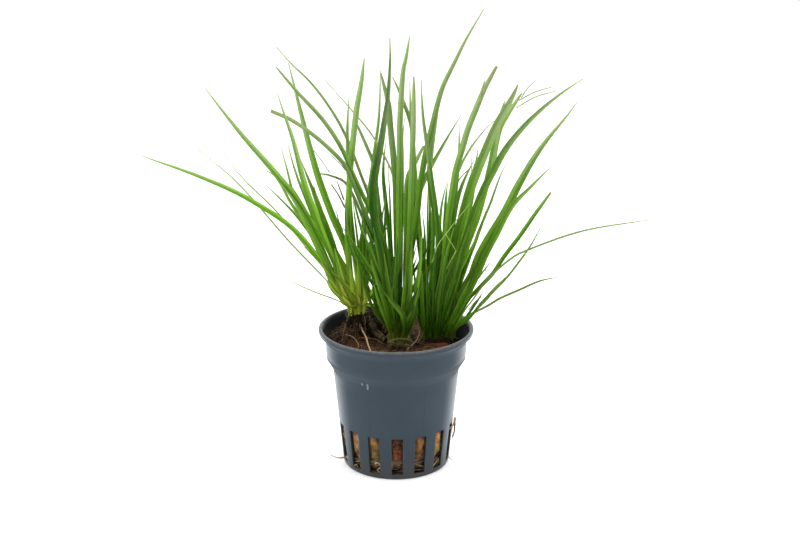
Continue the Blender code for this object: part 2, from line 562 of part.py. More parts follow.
def blade_points(crown, fan, blade):
    """The blade's course in space, from its root on the crown to its tip."""
    root = Vector((blade.root * MM, fan.root_depth * MM, crown.top + GAP))
    share = (root.y - EYE.y) / (0.0 - EYE.y)
    sheet = [Vector(((root.x - EYE.x) / share + EYE.x, (root.z - EYE.z) / share + EYE.z))]
    sheet += [Vector(point) * MM for point in blade.course]
    marks = [0.0]
    for before, after in zip(sheet, sheet[1:]):
        marks.append(marks[-1] + (after - before).length)
    points = [root]
    for spot, mark in zip(sheet[1:], marks[1:]):
        depth = fan.root_depth + (fan.tip_depth - fan.root_depth) * (mark / marks[-1]) ** DEPTH_POWER
        points.append(to_depth(spot.x, spot.y, depth * MM))
    return points


def blade_width(blade, share):
    """Width of the blade at a share of its length: a narrow foot, a full middle and a drawn tip."""
    foot = FOOT_WIDTH + (1.0 - FOOT_WIDTH) * min(share / FOOT_END, 1.0)
    end = BLUNT_WIDTH if blade.blunt else POINT_WIDTH
    drawn = max(0.0, (share - TIP_START) / (1.0 - TIP_START)) ** TIP_POWER
    tip = end + (1.0 - end) * (1.0 - drawn)
    return blade.width * MM * foot * tip


def add_blade(mesh_data, crown, fan, blade, steps):
    """Skin a four-sided blade along its course: two thin edges and a ridge on each face."""
    rings = []
    path = smooth_path(blade_points(crown, fan, blade), steps)
    for step, (place, heading) in enumerate(path):
        share = step / steps
        sight = (place - EYE).normalized()
        across = heading.cross(sight).normalized()
        face = across.cross(heading).normalized()
        angle = math.radians(blade.turn) * share
        edge = across * math.cos(angle) + face * math.sin(angle)
        ridge = face * math.cos(angle) - across * math.sin(angle)
        half_width = max(blade_width(blade, share), THINNEST_BLADE) / 2.0
        half_depth = max(half_width * BLADE_THICKNESS, THINNEST_BLADE / 2.0)
        ring = [place + edge * half_width, place + ridge * half_depth,
                place - edge * half_width, place - ridge * half_depth]
        if step == 0:
            ring = [Vector((corner.x, corner.y, place.z)) for corner in ring]
        rings.append([mesh_data.verts.new(corner) for corner in ring])
    add_ring_faces(mesh_data, rings)


def build_leaves(side, material):
    number = 0
    for fan in FANS[side]:
        for blade in fan.blades:
            number += 1
            mesh_data = bmesh.new()
            add_blade(mesh_data, CROWNS[side], fan, blade, LEAF_STEPS)
            add_object(f"{side}_leaf_{number:02d}", mesh_data, material)


# Crowns

def crown_ring(mesh_data, crown, scale, height):
    """A rounded rectangle of vertices about the crown's centre."""
    ring = []
    for index in range(CROWN_SIDES):
        angle = math.tau * index / CROWN_SIDES
        cosine, sine = math.cos(angle), math.sin(angle)
        spread = abs(cosine) ** CROWN_SQUARENESS + abs(sine) ** CROWN_SQUARENESS
        reach = spread ** (-1.0 / CROWN_SQUARENESS)
        across = crown.centre.x + crown.half_size.x * scale * reach * cosine
        deep = crown.centre.y + crown.half_size.y * scale * reach * sine
        ring.append(mesh_data.verts.new((across, deep, height)))
    return ring


def build_crown_body(name, crown, material):
    """The crown's squat body with a level top."""
    mesh_data = bmesh.new()
    middle = crown.foot + CROWN_WAIST * (crown.top - crown.foot)
    rings = [crown_ring(mesh_data, crown, scale, height)
             for scale, height in zip(CROWN_SCALES, (crown.foot, middle, crown.top))]
    add_ring_faces(mesh_data, rings)
    return add_object(name, mesh_data, material)


def tube_rings(mesh_data, points, radii, sides):
    """Rings of vertices square to a course of points."""
    rings = []
    for index, point in enumerate(points):
        ahead = points[min(index + 1, len(points) - 1)] - points[max(index - 1, 0)]
        across = ahead.cross(RING_GUIDE).normalized()
        upward = across.cross(ahead).normalized()
        ring = []
        for side in range(sides):
            angle = math.tau * side / sides
            spoke = across * math.cos(angle) + upward * math.sin(angle)
            ring.append(mesh_data.verts.new(point + radii[index] * spoke))
        rings.append(ring)
    return rings


def grow_onto(body, name, mesh_data, material):
    """Join grown parts to a body, so that both are one solid."""
    grown = add_object(f"{body.name}_{name}", mesh_data, material)
    grown.hide_render = True
    grown.display_type = "WIRE"
    union = body.modifiers.new(name, "BOOLEAN")
    union.operation = "UNION"
    union.solver = "MANIFOLD"
    union.object = grown


def build_crown(side, material):
    """A crown's body with its short inner blades, which start inside it."""
    crown = CROWNS[side]
    body = build_crown_body(f"{side}_crown", crown, material)
    growth = bmesh.new()
    sunk = crown._replace(top=crown.top - 3.0 * GAP)
    for fan in INNER_FANS[side]:
        for blade in fan.blades:
            add_blade(growth, sunk, fan, blade, INNER_STEPS)
    grow_onto(body, "blades", growth, material)
    return body


def add_rhizome(body, material):
    """The bare rhizome that joins the left crown to the plug."""
    mesh_data = bmesh.new()
    points = [Vector(point) * MM for point in RHIZOME_COURSE]
    radii = [radius * MM for radius in RHIZOME_RADII]
    add_ring_faces(mesh_data, tube_rings(mesh_data, points, radii, RHIZOME_SIDES))
    grow_onto(body, "rhizome", mesh_data, material)


def build_root(name, course, radius, material):
    mesh_data = bmesh.new()
    points = [Vector(point) * MM for point in course]
    add_ring_faces(mesh_data, tube_rings(mesh_data, points, [radius] * len(points), ROOT_SIDES))
    return add_object(name, mesh_data, material)


def build_plant():
    crown_green = make_material("crown_green", CROWN_GREEN)
    leaf_green = make_material("leaf_green", LEAF_GREEN)
    pale_root = make_material("pale_root", PALE_ROOT)
    crowns = {side: build_crown(side, crown_green) for side in CROWNS}
    add_rhizome(crowns["left"], crown_green)
    for side in CROWNS:
        build_leaves(side, leaf_green)
    build_root("hanging_root", HANGING_ROOT, HANGING_ROOT_RADIUS, pale_root)
    build_root("stray_root", STRAY_ROOT, STRAY_ROOT_RADIUS, pale_root)


def main():
    clear_scene()
    build_pot()
    build_root_mat()
    build_plug()
    build_plant()


main()
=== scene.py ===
"""Finished look of a potted dwarf Japanese sweet flag, built round its solid frame.

Sizes in the tables are in millimetres and become metres where a mesh is made. The frame has +Z up, the
pot's base on Z = 0 and its front at -Y. A leaf's course is drawn on an upright sheet through the pot's axis,
as it is seen from EYE, and each point is then moved along its line of sight to its own depth.
"""

import math
import random
from collections import namedtuple

import bmesh
import bpy
from bpy.props import FloatProperty, FloatVectorProperty, IntProperty, PointerProperty
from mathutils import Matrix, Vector, noise


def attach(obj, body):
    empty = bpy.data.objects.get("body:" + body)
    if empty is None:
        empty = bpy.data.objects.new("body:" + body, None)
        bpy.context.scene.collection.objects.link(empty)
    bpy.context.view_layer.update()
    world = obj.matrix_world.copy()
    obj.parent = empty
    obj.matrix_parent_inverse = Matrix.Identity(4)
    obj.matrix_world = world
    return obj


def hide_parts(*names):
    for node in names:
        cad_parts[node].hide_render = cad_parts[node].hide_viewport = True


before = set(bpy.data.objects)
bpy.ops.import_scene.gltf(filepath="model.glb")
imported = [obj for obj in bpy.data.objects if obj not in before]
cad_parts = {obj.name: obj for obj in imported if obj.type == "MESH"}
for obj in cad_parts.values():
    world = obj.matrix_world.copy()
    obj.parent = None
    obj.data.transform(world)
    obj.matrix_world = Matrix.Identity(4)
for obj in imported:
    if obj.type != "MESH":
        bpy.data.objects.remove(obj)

bl_info = {
    "name": "Potted Sweet Flag",
    "version": (1, 0, 0),
    "blender": (4, 5, 0),
    "location": "3D View > Sidebar > Sweet Flag",
    "description": "Builds the net pot, the mineral-wool plug, the roots, the crowns and the leaves",
    "category": "Add Mesh",
}

MM = 0.001
BODY = "root"

# The pot, as the frame has it
RIM_RADIUS = 27.7
POT_HEIGHT = 51.0
BASE_RADIUS = 19.3
BASE_EDGE = 0.9
SHOULDER_RADIUS = 22.7
SHOULDER_HEIGHT = 36.5
COLLAR_RADIUS = 25.3
COLLAR_FOOT = 40.2
COLLAR_HEAD = 46.2
COLLAR_TAPER = 0.3
WALL = 0.9
FLOOR = 1.2
LIP_EDGE = 1.0
RIM_DEPTH = 1.5
SLOT_COUNT = 15
SLOT_SILL = 1.9
SLOT_HEAD = 16.2
SLOT_TURN = math.radians(1.3)
SLOT_START = SLOT_TURN - math.pi / 2.0
SLOT_PITCH = math.tau / SLOT_COUNT
MOULD_LINES = (math.radians(-25.5), math.radians(27.0))

# The filling, as the frame has it; the lump and the pit have a place, a reach and a height or a depth
PLUG_FOOT = 7.7
PLUG_TOP = 47.3
PLUG_FLAT = 18.3
LUMP = (-14.0, 1.0, 9.0, 2.4)
PIT = (-6.5, 2.5, 3.6, 4.5)
PLUG_COLUMNS = 180
FIBRE_LENGTH = 2.4
FIBRE_SEED = 3
FIBRE_TONE = 0.35
ROOT_MAT_FOOT = 1.5
ROOT_MAT_TOP = 7.4
ROOT_REACH = 22.5
TANGLE_SEED = 11
CROWN_ROOT_SEED = 31
LITTER_SEED = 37

# Crowns and leaves, as the frame has them
EYE = Vector((1.4, -446.0, 208.0))
LEAF_GAP = 0.3
DEPTH_POWER = 1.25
BLADE_SEED = 20
# The share of a blade's length where its sheathing foot ends and its tip starts, how suddenly a pointed or a
# blunt tip closes, the share of the width that a point keeps, and the gain and least value of half the width
FOOT_END = 0.36
TIP_START = 0.5
TIP_POWER = 3.2
BLUNT_POWER = 6.0
POINT_WIDTH = 0.07
WIDTH_GAIN = 1.06
LEAST_WIDTH = 0.13
TROUGH_POWER = 1.4

# A crown has its centre and its half size across and deep, the heights of its foot and its top, how young its
# leaves look, how far their feet draw in to its centre, how deep they sink in it, how much lighter its leaves
# are, how many young leaves crowd it, how they lean, its rhizome's tone, and its share of fine roots.
Crown = namedtuple("Crown", "centre half_size foot top youth gather sink light crowding lean tone root_share")
CROWNS = {
    "left": Crown(Vector((-14.0, 3.4)), Vector((5.4, 7.4)), 53.6, 57.7, youth=1.0, gather=0.4, sink=5.2,
                  light=0.22, crowding=0.35, lean=-0.25, tone=0.0, root_share=0.8),
    "middle": Crown(Vector((1.0, -5.0)), Vector((6.2, 9.0)), 47.6, 49.6, youth=0.25, gather=0.5, sink=3.4,
                    light=-0.15, crowding=0.9, lean=0.0, tone=1.0, root_share=1.0),
    "right": Crown(Vector((15.2, 2.4)), Vector((6.6, 9.8)), 47.6, 49.6, youth=0.0, gather=0.05, sink=3.4,
                   light=0.06, crowding=0.5, lean=0.25, tone=0.2, root_share=0.3),
}

# A fan is a row of blades, with the depth of their roots and of their tips. A blade has the place of its root
# across the sheet, its width, its turn in degrees at the tip, its tone from 0, deep green, to 1, bright
# green, its course across and up the sheet, the share of its width that a blunt tip keeps, and how dry it is.
Fan = namedtuple("Fan", "root_depth tip_depth blades")
Blade = namedtuple("Blade", "root width turn tone course blunt dry", defaults=(0.0, 0.0))

FANS = {
    "left": (
        Fan(-1.0, -23.0, (
            Blade(-18.9, 0.45, 0, 0.9, ((-30.5, 64.6), (-38.2, 68.3)), dry=0.8),
            Blade(-18.0, 1.7, 35, 0.8, ((-33.6, 84.8), (-50.7, 97.7), (-67.7, 105.9), (-89.1, 113.7))),
            Blade(-16.5, 2.1, 20, 0.65,
                  ((-19.6, 64.6), (-24.0, 75.0), (-32.9, 95.0), (-40.1, 105.3), (-53.4, 121.4),
                   (-64.7, 136.5))),
            Blade(-14.9, 2.0, -15, 0.7,
                  ((-17.6, 64.6), (-21.9, 75.0), (-28.7, 93.9), (-32.1, 104.6), (-35.3, 118.6),
                   (-38.0, 127.3), (-40.2, 134.5))),
            Blade(-13.2, 2.0, 15, 0.6,
                  ((-15.6, 64.6), (-16.9, 77.6), (-16.5, 93.9), (-15.7, 108.1), (-14.6, 118.6),
                   (-13.3, 129.0), (-11.5, 139.2), (-10.6, 146.7)), 0.1),
        )),
        Fan(2.5, -4.0, (
            Blade(-18.4, 0.6, 0, 0.5,
                  ((-27.4, 71.3), (-37.6, 82.7), (-54.5, 103.2), (-67.8, 115.3)), dry=1.0),
            Blade(-17.0, 1.2, 50, 0.35,
                  ((-22.3, 69.8), (-29.1, 83.8), (-34.2, 91.4), (-39.6, 97.5), (-46.3, 104.2))),
            Blade(-15.0, 1.2, -40, 0.5,
                  ((-24.0, 80.0), (-31.5, 92.5), (-35.7, 100.0), (-37.6, 108.1), (-39.8, 117.5))),
            Blade(-12.8, 2.3, 10, 0.6,
                  ((-15.6, 66.5), (-17.6, 80.1), (-22.0, 91.4), (-26.5, 104.6), (-29.3, 115.1),
                   (-32.3, 128.0), (-36.2, 145.0))),
            Blade(-10.8, 1.6, -25, 0.4,
                  ((-13.1, 66.5), (-14.6, 79.4), (-16.0, 93.9), (-16.5, 108.1), (-16.7, 122.1),
                   (-15.9, 134.1))),
        )),
        Fan(6.0, 16.0, (
            Blade(-17.9, 0.6, 0, 0.4,
                  ((-33.5, 83.0), (-42.1, 93.9), (-53.9, 106.3), (-59.4, 114.8)), dry=0.9),
            Blade(-16.2, 1.4, 45, 0.45,
                  ((-21.9, 71.3), (-26.2, 79.4), (-28.4, 83.5), (-36.0, 95.8), (-41.8, 106.0),
                   (-46.9, 108.8))),
            Blade(-14.2, 1.3, -45, 0.3,
                  ((-20.0, 71.3), (-24.1, 79.4), (-27.3, 86.7), (-31.3, 97.5), (-33.9, 104.6),
                   (-35.9, 111.6), (-37.5, 119.3))),
            Blade(-12.2, 2.0, 20, 0.1,
                  ((-18.1, 71.3), (-21.9, 79.4), (-26.8, 95.7), (-29.4, 102.8), (-32.7, 111.6))),
            Blade(-10.0, 1.3, -30, 0.4,
                  ((-12.8, 68.4), (-12.7, 79.4), (-10.5, 92.1), (-9.0, 103.9), (-7.4, 115.1), (-5.9, 126.6),
                   (-5.2, 142.6))),
        )),
    ),
    "middle": (
        Fan(-11.0, -32.0, (
            Blade(-0.8, 2.5, 10, 0.2,
                  ((-5.0, 75.7), (-7.7, 92.1), (-7.8, 101.0), (-6.9, 108.1), (-5.5, 115.1), (-3.8, 125.6),
                   (-2.6, 134.1), (-1.9, 146.0), (-2.0, 153.3))),
            Blade(2.2, 1.9, -20, 0.65,
                  ((1.0, 75.7), (1.0, 95.0), (1.2, 111.6), (1.2, 122.1), (1.7, 133.5), (2.4, 142.6),
                   (3.4, 147.0), (4.6, 153.7)), 0.1),
            Blade(4.7, 1.9, 25, 0.6,
                  ((4.0, 64.6), (4.9, 86.6), (5.5, 104.6), (5.8, 115.1), (6.1, 123.8), (6.2, 135.8),
                   (6.1, 140.3)), 0.25),
        )),
        Fan(-8.0, -20.0, (
            Blade(-3.3, 1.5, -35, 0.5,
                  ((-4.5, 72.0), (-6.2, 82.0), (-10.6, 92.1), (-14.9, 103.2), (-17.6, 109.5), (-22.6, 115.1),
                   (-28.7, 120.5), (-36.1, 125.6), (-42.7, 128.5)), 0.9, 0.2),
            Blade(-1.4, 1.5, 30, 0.55,
                  ((-2.6, 72.0), (-4.2, 82.0), (-8.4, 92.5), (-12.1, 100.7), (-15.5, 108.5), (-18.2, 115.1),
                   (-21.8, 121.4), (-26.1, 127.3), (-33.1, 135.0), (-40.3, 143.6)), 0.3),
            Blade(0.6, 2.1, 20, 0.45,
                  ((0.5, 75.7), (0.2, 92.1), (0.0, 102.8), (-0.8, 113.4), (-1.8, 123.8), (-2.3, 130.7),
                   (-3.7, 136.5), (-5.1, 141.8)), 0.2),
            Blade(2.9, 2.0, 25, 0.6,
                  ((4.3, 72.0), (7.2, 90.3), (8.3, 101.0), (9.3, 108.1), (10.6, 115.1), (12.2, 122.1),
                   (13.8, 129.0), (15.6, 135.8), (17.1, 139.4), (20.3, 146.0), (23.3, 152.3), (29.3, 162.9))),
        )),
        Fan(-5.0, -4.0, (
            Blade(-3.6, 1.0, 0, 0.4,
                  ((-4.9, 76.5), (-6.5, 86.0), (-8.7, 96.4), (-12.1, 106.4), (-16.4, 118.3), (-21.1, 127.6),
                   (-28.4, 137.9), (-35.7, 145.2), (-40.1, 150.3)), dry=0.4),
            Blade(-1.5, 1.3, 15, 0.45,
                  ((-3.4, 78.0), (-4.4, 84.0), (-6.0, 96.8), (-6.9, 104.6), (-7.9, 110.9), (-9.9, 116.2),
                   (-13.5, 124.6)), 0.55, 0.2),
            Blade(2.0, 1.3, -30, 0.3, ((1.8, 90.2), (2.1, 105.0), (2.2, 115.1), (2.3, 120.4), (3.0, 126.3))),
            Blade(4.6, 1.9, 35, 0.5,
                  ((4.9, 79.4), (5.6, 91.4), (7.6, 98.5), (11.7, 108.1), (16.8, 117.7), (22.3, 127.4))),
        )),
        Fan(-2.0, 8.0, (
            Blade(-3.8, 1.1, 30, 0.35,
                  ((-5.6, 72.0), (-11.9, 92.0), (-17.3, 103.5), (-22.8, 106.3), (-26.3, 106.9)), 0.5, 0.5),
            Blade(-0.8, 0.7, 0, 0.4,
                  ((1.0, 83.0), (0.4, 99.3), (-1.7, 108.1), (-4.8, 114.5), (-8.2, 120.4), (-13.3, 126.9),
                   (-24.0, 139.2)), dry=1.0),
            Blade(3.0, 1.5, 0, 0.4,
                  ((4.9, 86.6), (6.2, 108.1), (5.5, 122.1), (4.5, 126.6), (2.8, 131.1), (0.8, 136.2),
                   (-1.2, 140.4)), 0.15),
        )),
        Fan(1.0, 24.0, (
            Blade(-2.4, 1.6, 0, 0.3,
                  ((-2.1, 83.0), (-3.1, 92.0), (-3.9, 100.0), (-4.4, 106.0), (-4.2, 111.6), (-3.4, 118.3))),
            Blade(1.2, 2.5, 30, 0.35, ((0.9, 85.0), (0.7, 102.0), (0.6, 117.0))),
            Blade(4.6, 1.8, 20, 0.6,
                  ((3.6, 83.0), (3.5, 92.0), (3.7, 99.6), (4.3, 106.0), (6.4, 110.0), (9.6, 116.6)), 0.5),
        )),
    ),
    "right": (
        Fan(-5.0, -26.0, (
            Blade(10.6, 1.6, -25, 0.2,
                  ((14.3, 75.7), (14.6, 84.0), (13.8, 93.9), (12.2, 104.6), (10.8, 115.1), (9.3, 125.6),
                   (8.8, 132.4), (8.6, 139.2))),
            Blade(12.8, 2.0, 10, 0.6,
                  ((16.8, 75.7), (18.2, 90.3), (19.6, 101.0), (20.7, 108.1), (22.7, 115.1), (24.6, 122.1),
                   (27.2, 129.0), (29.9, 135.8), (32.5, 140.9), (34.1, 143.9)), 0.42),
            Blade(15.0, 2.5, -15, 0.3,
                  ((20.6, 66.5), (23.4, 79.4), (26.2, 89.6), (29.8, 100.0), (33.5, 107.8), (37.3, 115.0),
                   (42.7, 122.3), (49.4, 129.2), (56.6, 135.1), (63.2, 139.6))),
            Blade(17.6, 2.0, 30, 0.45,
                  ((25.6, 63.1), (28.8, 70.2), (31.7, 77.6), (35.3, 84.9), (40.4, 95.0), (46.8, 102.1),
                   (54.1, 109.9))),
            Blade(20.0, 0.75, -40, 0.5,
                  ((24.4, 57.0), (27.6, 61.5), (30.6, 66.2), (35.5, 71.9), (39.0, 75.1), (43.6, 78.3),
                   (64.2, 86.1), (85.2, 89.9), (95.3, 90.8)), dry=0.6),
        )),
        Fan(-1.5, -13.0, (
            Blade(10.4, 2.1, 20, 0.35,
                  ((15.4, 75.7), (14.2, 90.0), (12.4, 100.5), (11.7, 107.0), (12.1, 113.0), (13.3, 122.1),
                   (15.3, 135.0))),
            Blade(12.4, 1.5, -20, 0.4,
                  ((17.5, 75.7), (19.6, 92.0), (21.0, 104.6), (21.6, 115.1), (21.6, 124.3))),
            Blade(14.4, 2.9, 15, 0.8,
                  ((18.8, 68.0), (21.9, 84.9), (25.4, 99.3), (28.3, 108.1), (30.6, 114.1), (34.0, 122.5),
                   (36.9, 128.2), (39.7, 133.6), (41.4, 137.7)), 0.15),
            Blade(16.8, 2.9, -15, 0.6,
                  ((22.2, 60.3), (25.8, 67.7), (29.0, 76.8), (32.7, 84.1), (37.5, 92.4), (42.3, 102.8),
                   (47.7, 112.8), (52.2, 119.4), (57.5, 126.0), (61.7, 131.8))),
            Blade(20.2, 1.5, 25, 0.6,
                  ((25.8, 61.2), (29.3, 65.2), (34.2, 70.7), (38.0, 76.8), (43.4, 84.4), (48.1, 91.7),
                   (53.8, 100.2)), 0.5),
        )),
        Fan(2.0, 10.0, (
            Blade(10.0, 2.2, -20, 0.5, ((10.3, 64.6), (8.2, 83.0), (6.7, 101.0), (5.1, 125.5), (4.7, 138.5))),
            Blade(12.2, 1.0, 0, 0.5,
                  ((15.6, 70.0), (18.7, 92.1), (20.0, 100.3), (21.3, 106.7), (23.2, 111.4), (25.4, 115.4),
                   (28.1, 119.3), (31.5, 123.4), (34.5, 125.9)), dry=0.7),
            Blade(14.3, 2.2, 10, 0.85,
                  ((20.6, 66.5), (25.0, 81.2), (28.6, 92.0), (32.4, 108.1), (35.5, 126.2),
                   (37.0, 132.0)), 0.15),
            Blade(16.6, 1.0, 0, 0.4,
                  ((22.3, 65.3), (25.0, 73.5), (28.2, 84.0), (31.2, 92.2), (32.6, 95.7), (34.4, 101.2),
                   (36.4, 107.0), (38.8, 111.6)), dry=0.8),
            Blade(19.4, 0.8, 0, 0.55,
                  ((24.6, 53.8), (30.3, 59.0), (34.5, 64.0), (39.1, 69.2), (43.7, 75.6), (47.1, 80.8),
                   (51.7, 89.9)), dry=0.5),
        )),
        Fan(5.5, 24.0, (
            Blade(10.8, 1.6, 30, 0.35, ((15.5, 68.3), (16.9, 83.0), (17.4, 97.5), (18.0, 104.6))),
            Blade(12.9, 2.8, -15, 0.3,
                  ((19.0, 72.0), (21.7, 86.6), (24.7, 97.5), (30.2, 115.1), (33.2, 122.1))),
            Blade(15.4, 2.2, 15, 0.75,
                  ((22.2, 72.0), (26.7, 89.6), (29.4, 97.5), (31.7, 104.6), (33.4, 111.2), (34.4, 117.5),
                   (35.7, 123.0), (38.0, 127.2), (42.9, 135.0)), 0.2),
            Blade(20.2, 0.9, 0, 0.5,
                  ((25.6, 55.0), (32.3, 58.6), (36.9, 61.5), (43.9, 64.8), (50.9, 68.0),
                   (57.9, 69.6)), dry=0.6),
        )),
    ),
}

# Short inner blades that grow as one with their crown, before and behind its fans
INNER_FANS = {
    "left": (
        Fan(-3.0, -10.0, (
            Blade(-17.8, 1.2, 0, 1.0, ((-22.4, 64.3), (-25.1, 69.1))),
            Blade(-16.0, 1.6, 0, 0.8, ((-18.8, 68.0), (-21.6, 80.0))),
            Blade(-14.2, 1.5, 0, 0.9, ((-15.6, 66.0), (-16.2, 74.0))),
            Blade(-12.5, 1.5, 0, 0.6, ((-13.2, 68.0), (-13.6, 76.0))),
            Blade(-10.5, 1.4, 0, 0.7, ((-8.4, 64.6), (-7.8, 69.0))),
        )),
        Fan(9.2, 38.0, (
            Blade(-17.0, 1.6, 20, 0.5, ((-24.5, 76.0), (-31.0, 90.0))),
            Blade(-15.2, 1.6, 10, 0.4, ((-22.0, 80.0), (-29.2, 100.0))),
            Blade(-13.2, 1.6, 0, 0.4, ((-15.2, 82.0), (-16.2, 102.0), (-17.2, 116.0))),
            Blade(-11.0, 1.4, -20, 0.4, ((-12.6, 72.0), (-13.0, 80.0))),
        )),
    ),
    "middle": (
        Fan(-12.6, -22.0, (
            Blade(-4.1, 1.6, 0, 0.8, ((-6.8, 62.4), (-7.8, 66.9))),
            Blade(-2.6, 1.7, 0, 0.6, ((-4.8, 62.0), (-9.0, 76.0))),
            Blade(-0.9, 1.6, 0, 0.4, ((-2.4, 64.0), (-4.2, 78.0))),
            Blade(0.7, 1.6, 0, 0.3, ((0.0, 66.0), (0.6, 86.0))),
            Blade(2.3, 1.6, 0, 0.6, ((2.6, 62.0), (3.4, 72.0))),
            Blade(3.9, 1.5, 0, 0.7, ((4.8, 62.8), (5.2, 72.1), (5.4, 79.4))),
            Blade(5.6, 1.7, 0, 0.9, ((6.8, 62.0), (8.5, 75.7), (8.9, 84.5))),
        )),
        Fan(2.8, 42.0, (
            Blade(-4.2, 1.4, 0, 0.3, ((-8.1, 68.7), (-10.2, 79.4), (-13.1, 90.7), (-15.9, 102.8))),
            Blade(-2.7, 1.6, 20, 0.2, ((-5.0, 75.0), (-5.6, 88.0), (-7.6, 100.0), (-8.4, 108.0))),
            Blade(-1.1, 1.6, 10, 0.2, ((-2.0, 75.7), (-2.8, 91.0), (-3.2, 100.0))),
            Blade(1.6, 1.6, 0, 0.2, ((1.3, 80.0), (1.0, 98.0), (0.8, 112.0))),
            Blade(3.5, 2.0, 0, 0.3, ((3.4, 75.7), (3.6, 93.9), (3.6, 105.6))),
            Blade(5.4, 1.6, -20, 0.2, ((5.5, 75.0), (6.0, 92.0), (6.4, 104.0))),
        )),
    ),
    "right": (
        Fan(-6.1, -16.0, (
            Blade(9.4, 1.5, 0, 0.5, ((9.2, 62.0), (9.0, 72.0))),
            Blade(11.0, 1.6, 0, 0.2, ((11.2, 62.0), (10.6, 76.0))),
            Blade(12.7, 1.7, 0, 0.1, ((13.4, 64.0), (13.6, 80.0))),
            Blade(14.4, 1.7, 0, 0.2, ((16.0, 64.0), (18.0, 78.0))),
            Blade(16.1, 1.7, 0, 0.1, ((18.2, 62.0), (21.0, 72.0))),
            Blade(18.0, 1.7, 0, 0.4, ((22.4, 60.0), (26.4, 69.0))),
            Blade(20.1, 1.7, 0, 0.4, ((23.4, 53.2), (26.8, 55.4))),
        )),
        Fan(10.8, 46.0, (
            Blade(9.4, 1.2, 0, 0.3, ((11.0, 75.7), (11.0, 92.1), (11.2, 104.6))),
            Blade(11.0, 1.6, 20, 0.2, ((13.0, 80.0), (12.9, 98.0), (12.3, 110.0))),
            Blade(12.6, 1.8, 10, 0.3, ((15.0, 80.0), (15.8, 94.6), (17.5, 103.5))),
            Blade(14.2, 1.6, 0, 0.5,
                  ((16.9, 80.0), (18.8, 97.0), (20.6, 108.0), (23.4, 117.5), (28.0, 132.8), (30.0, 139.0))),
            Blade(15.8, 2.0, 0, 0.1,
                  ((19.6, 80.0), (22.0, 90.7), (24.8, 102.1), (27.7, 111.6), (28.3, 116.9))),
            Blade(17.4, 1.8, 0, 0.4, ((22.0, 78.0), (25.4, 92.0), (28.0, 106.0))),
            Blade(19.0, 1.6, 0, 0.5, ((22.8, 68.0), (25.4, 76.1), (28.6, 84.9))),
            Blade(20.6, 1.6, -20, 0.4, ((30.0, 74.0), (40.0, 94.0), (46.6, 102.0))),
        )),
    ),
}

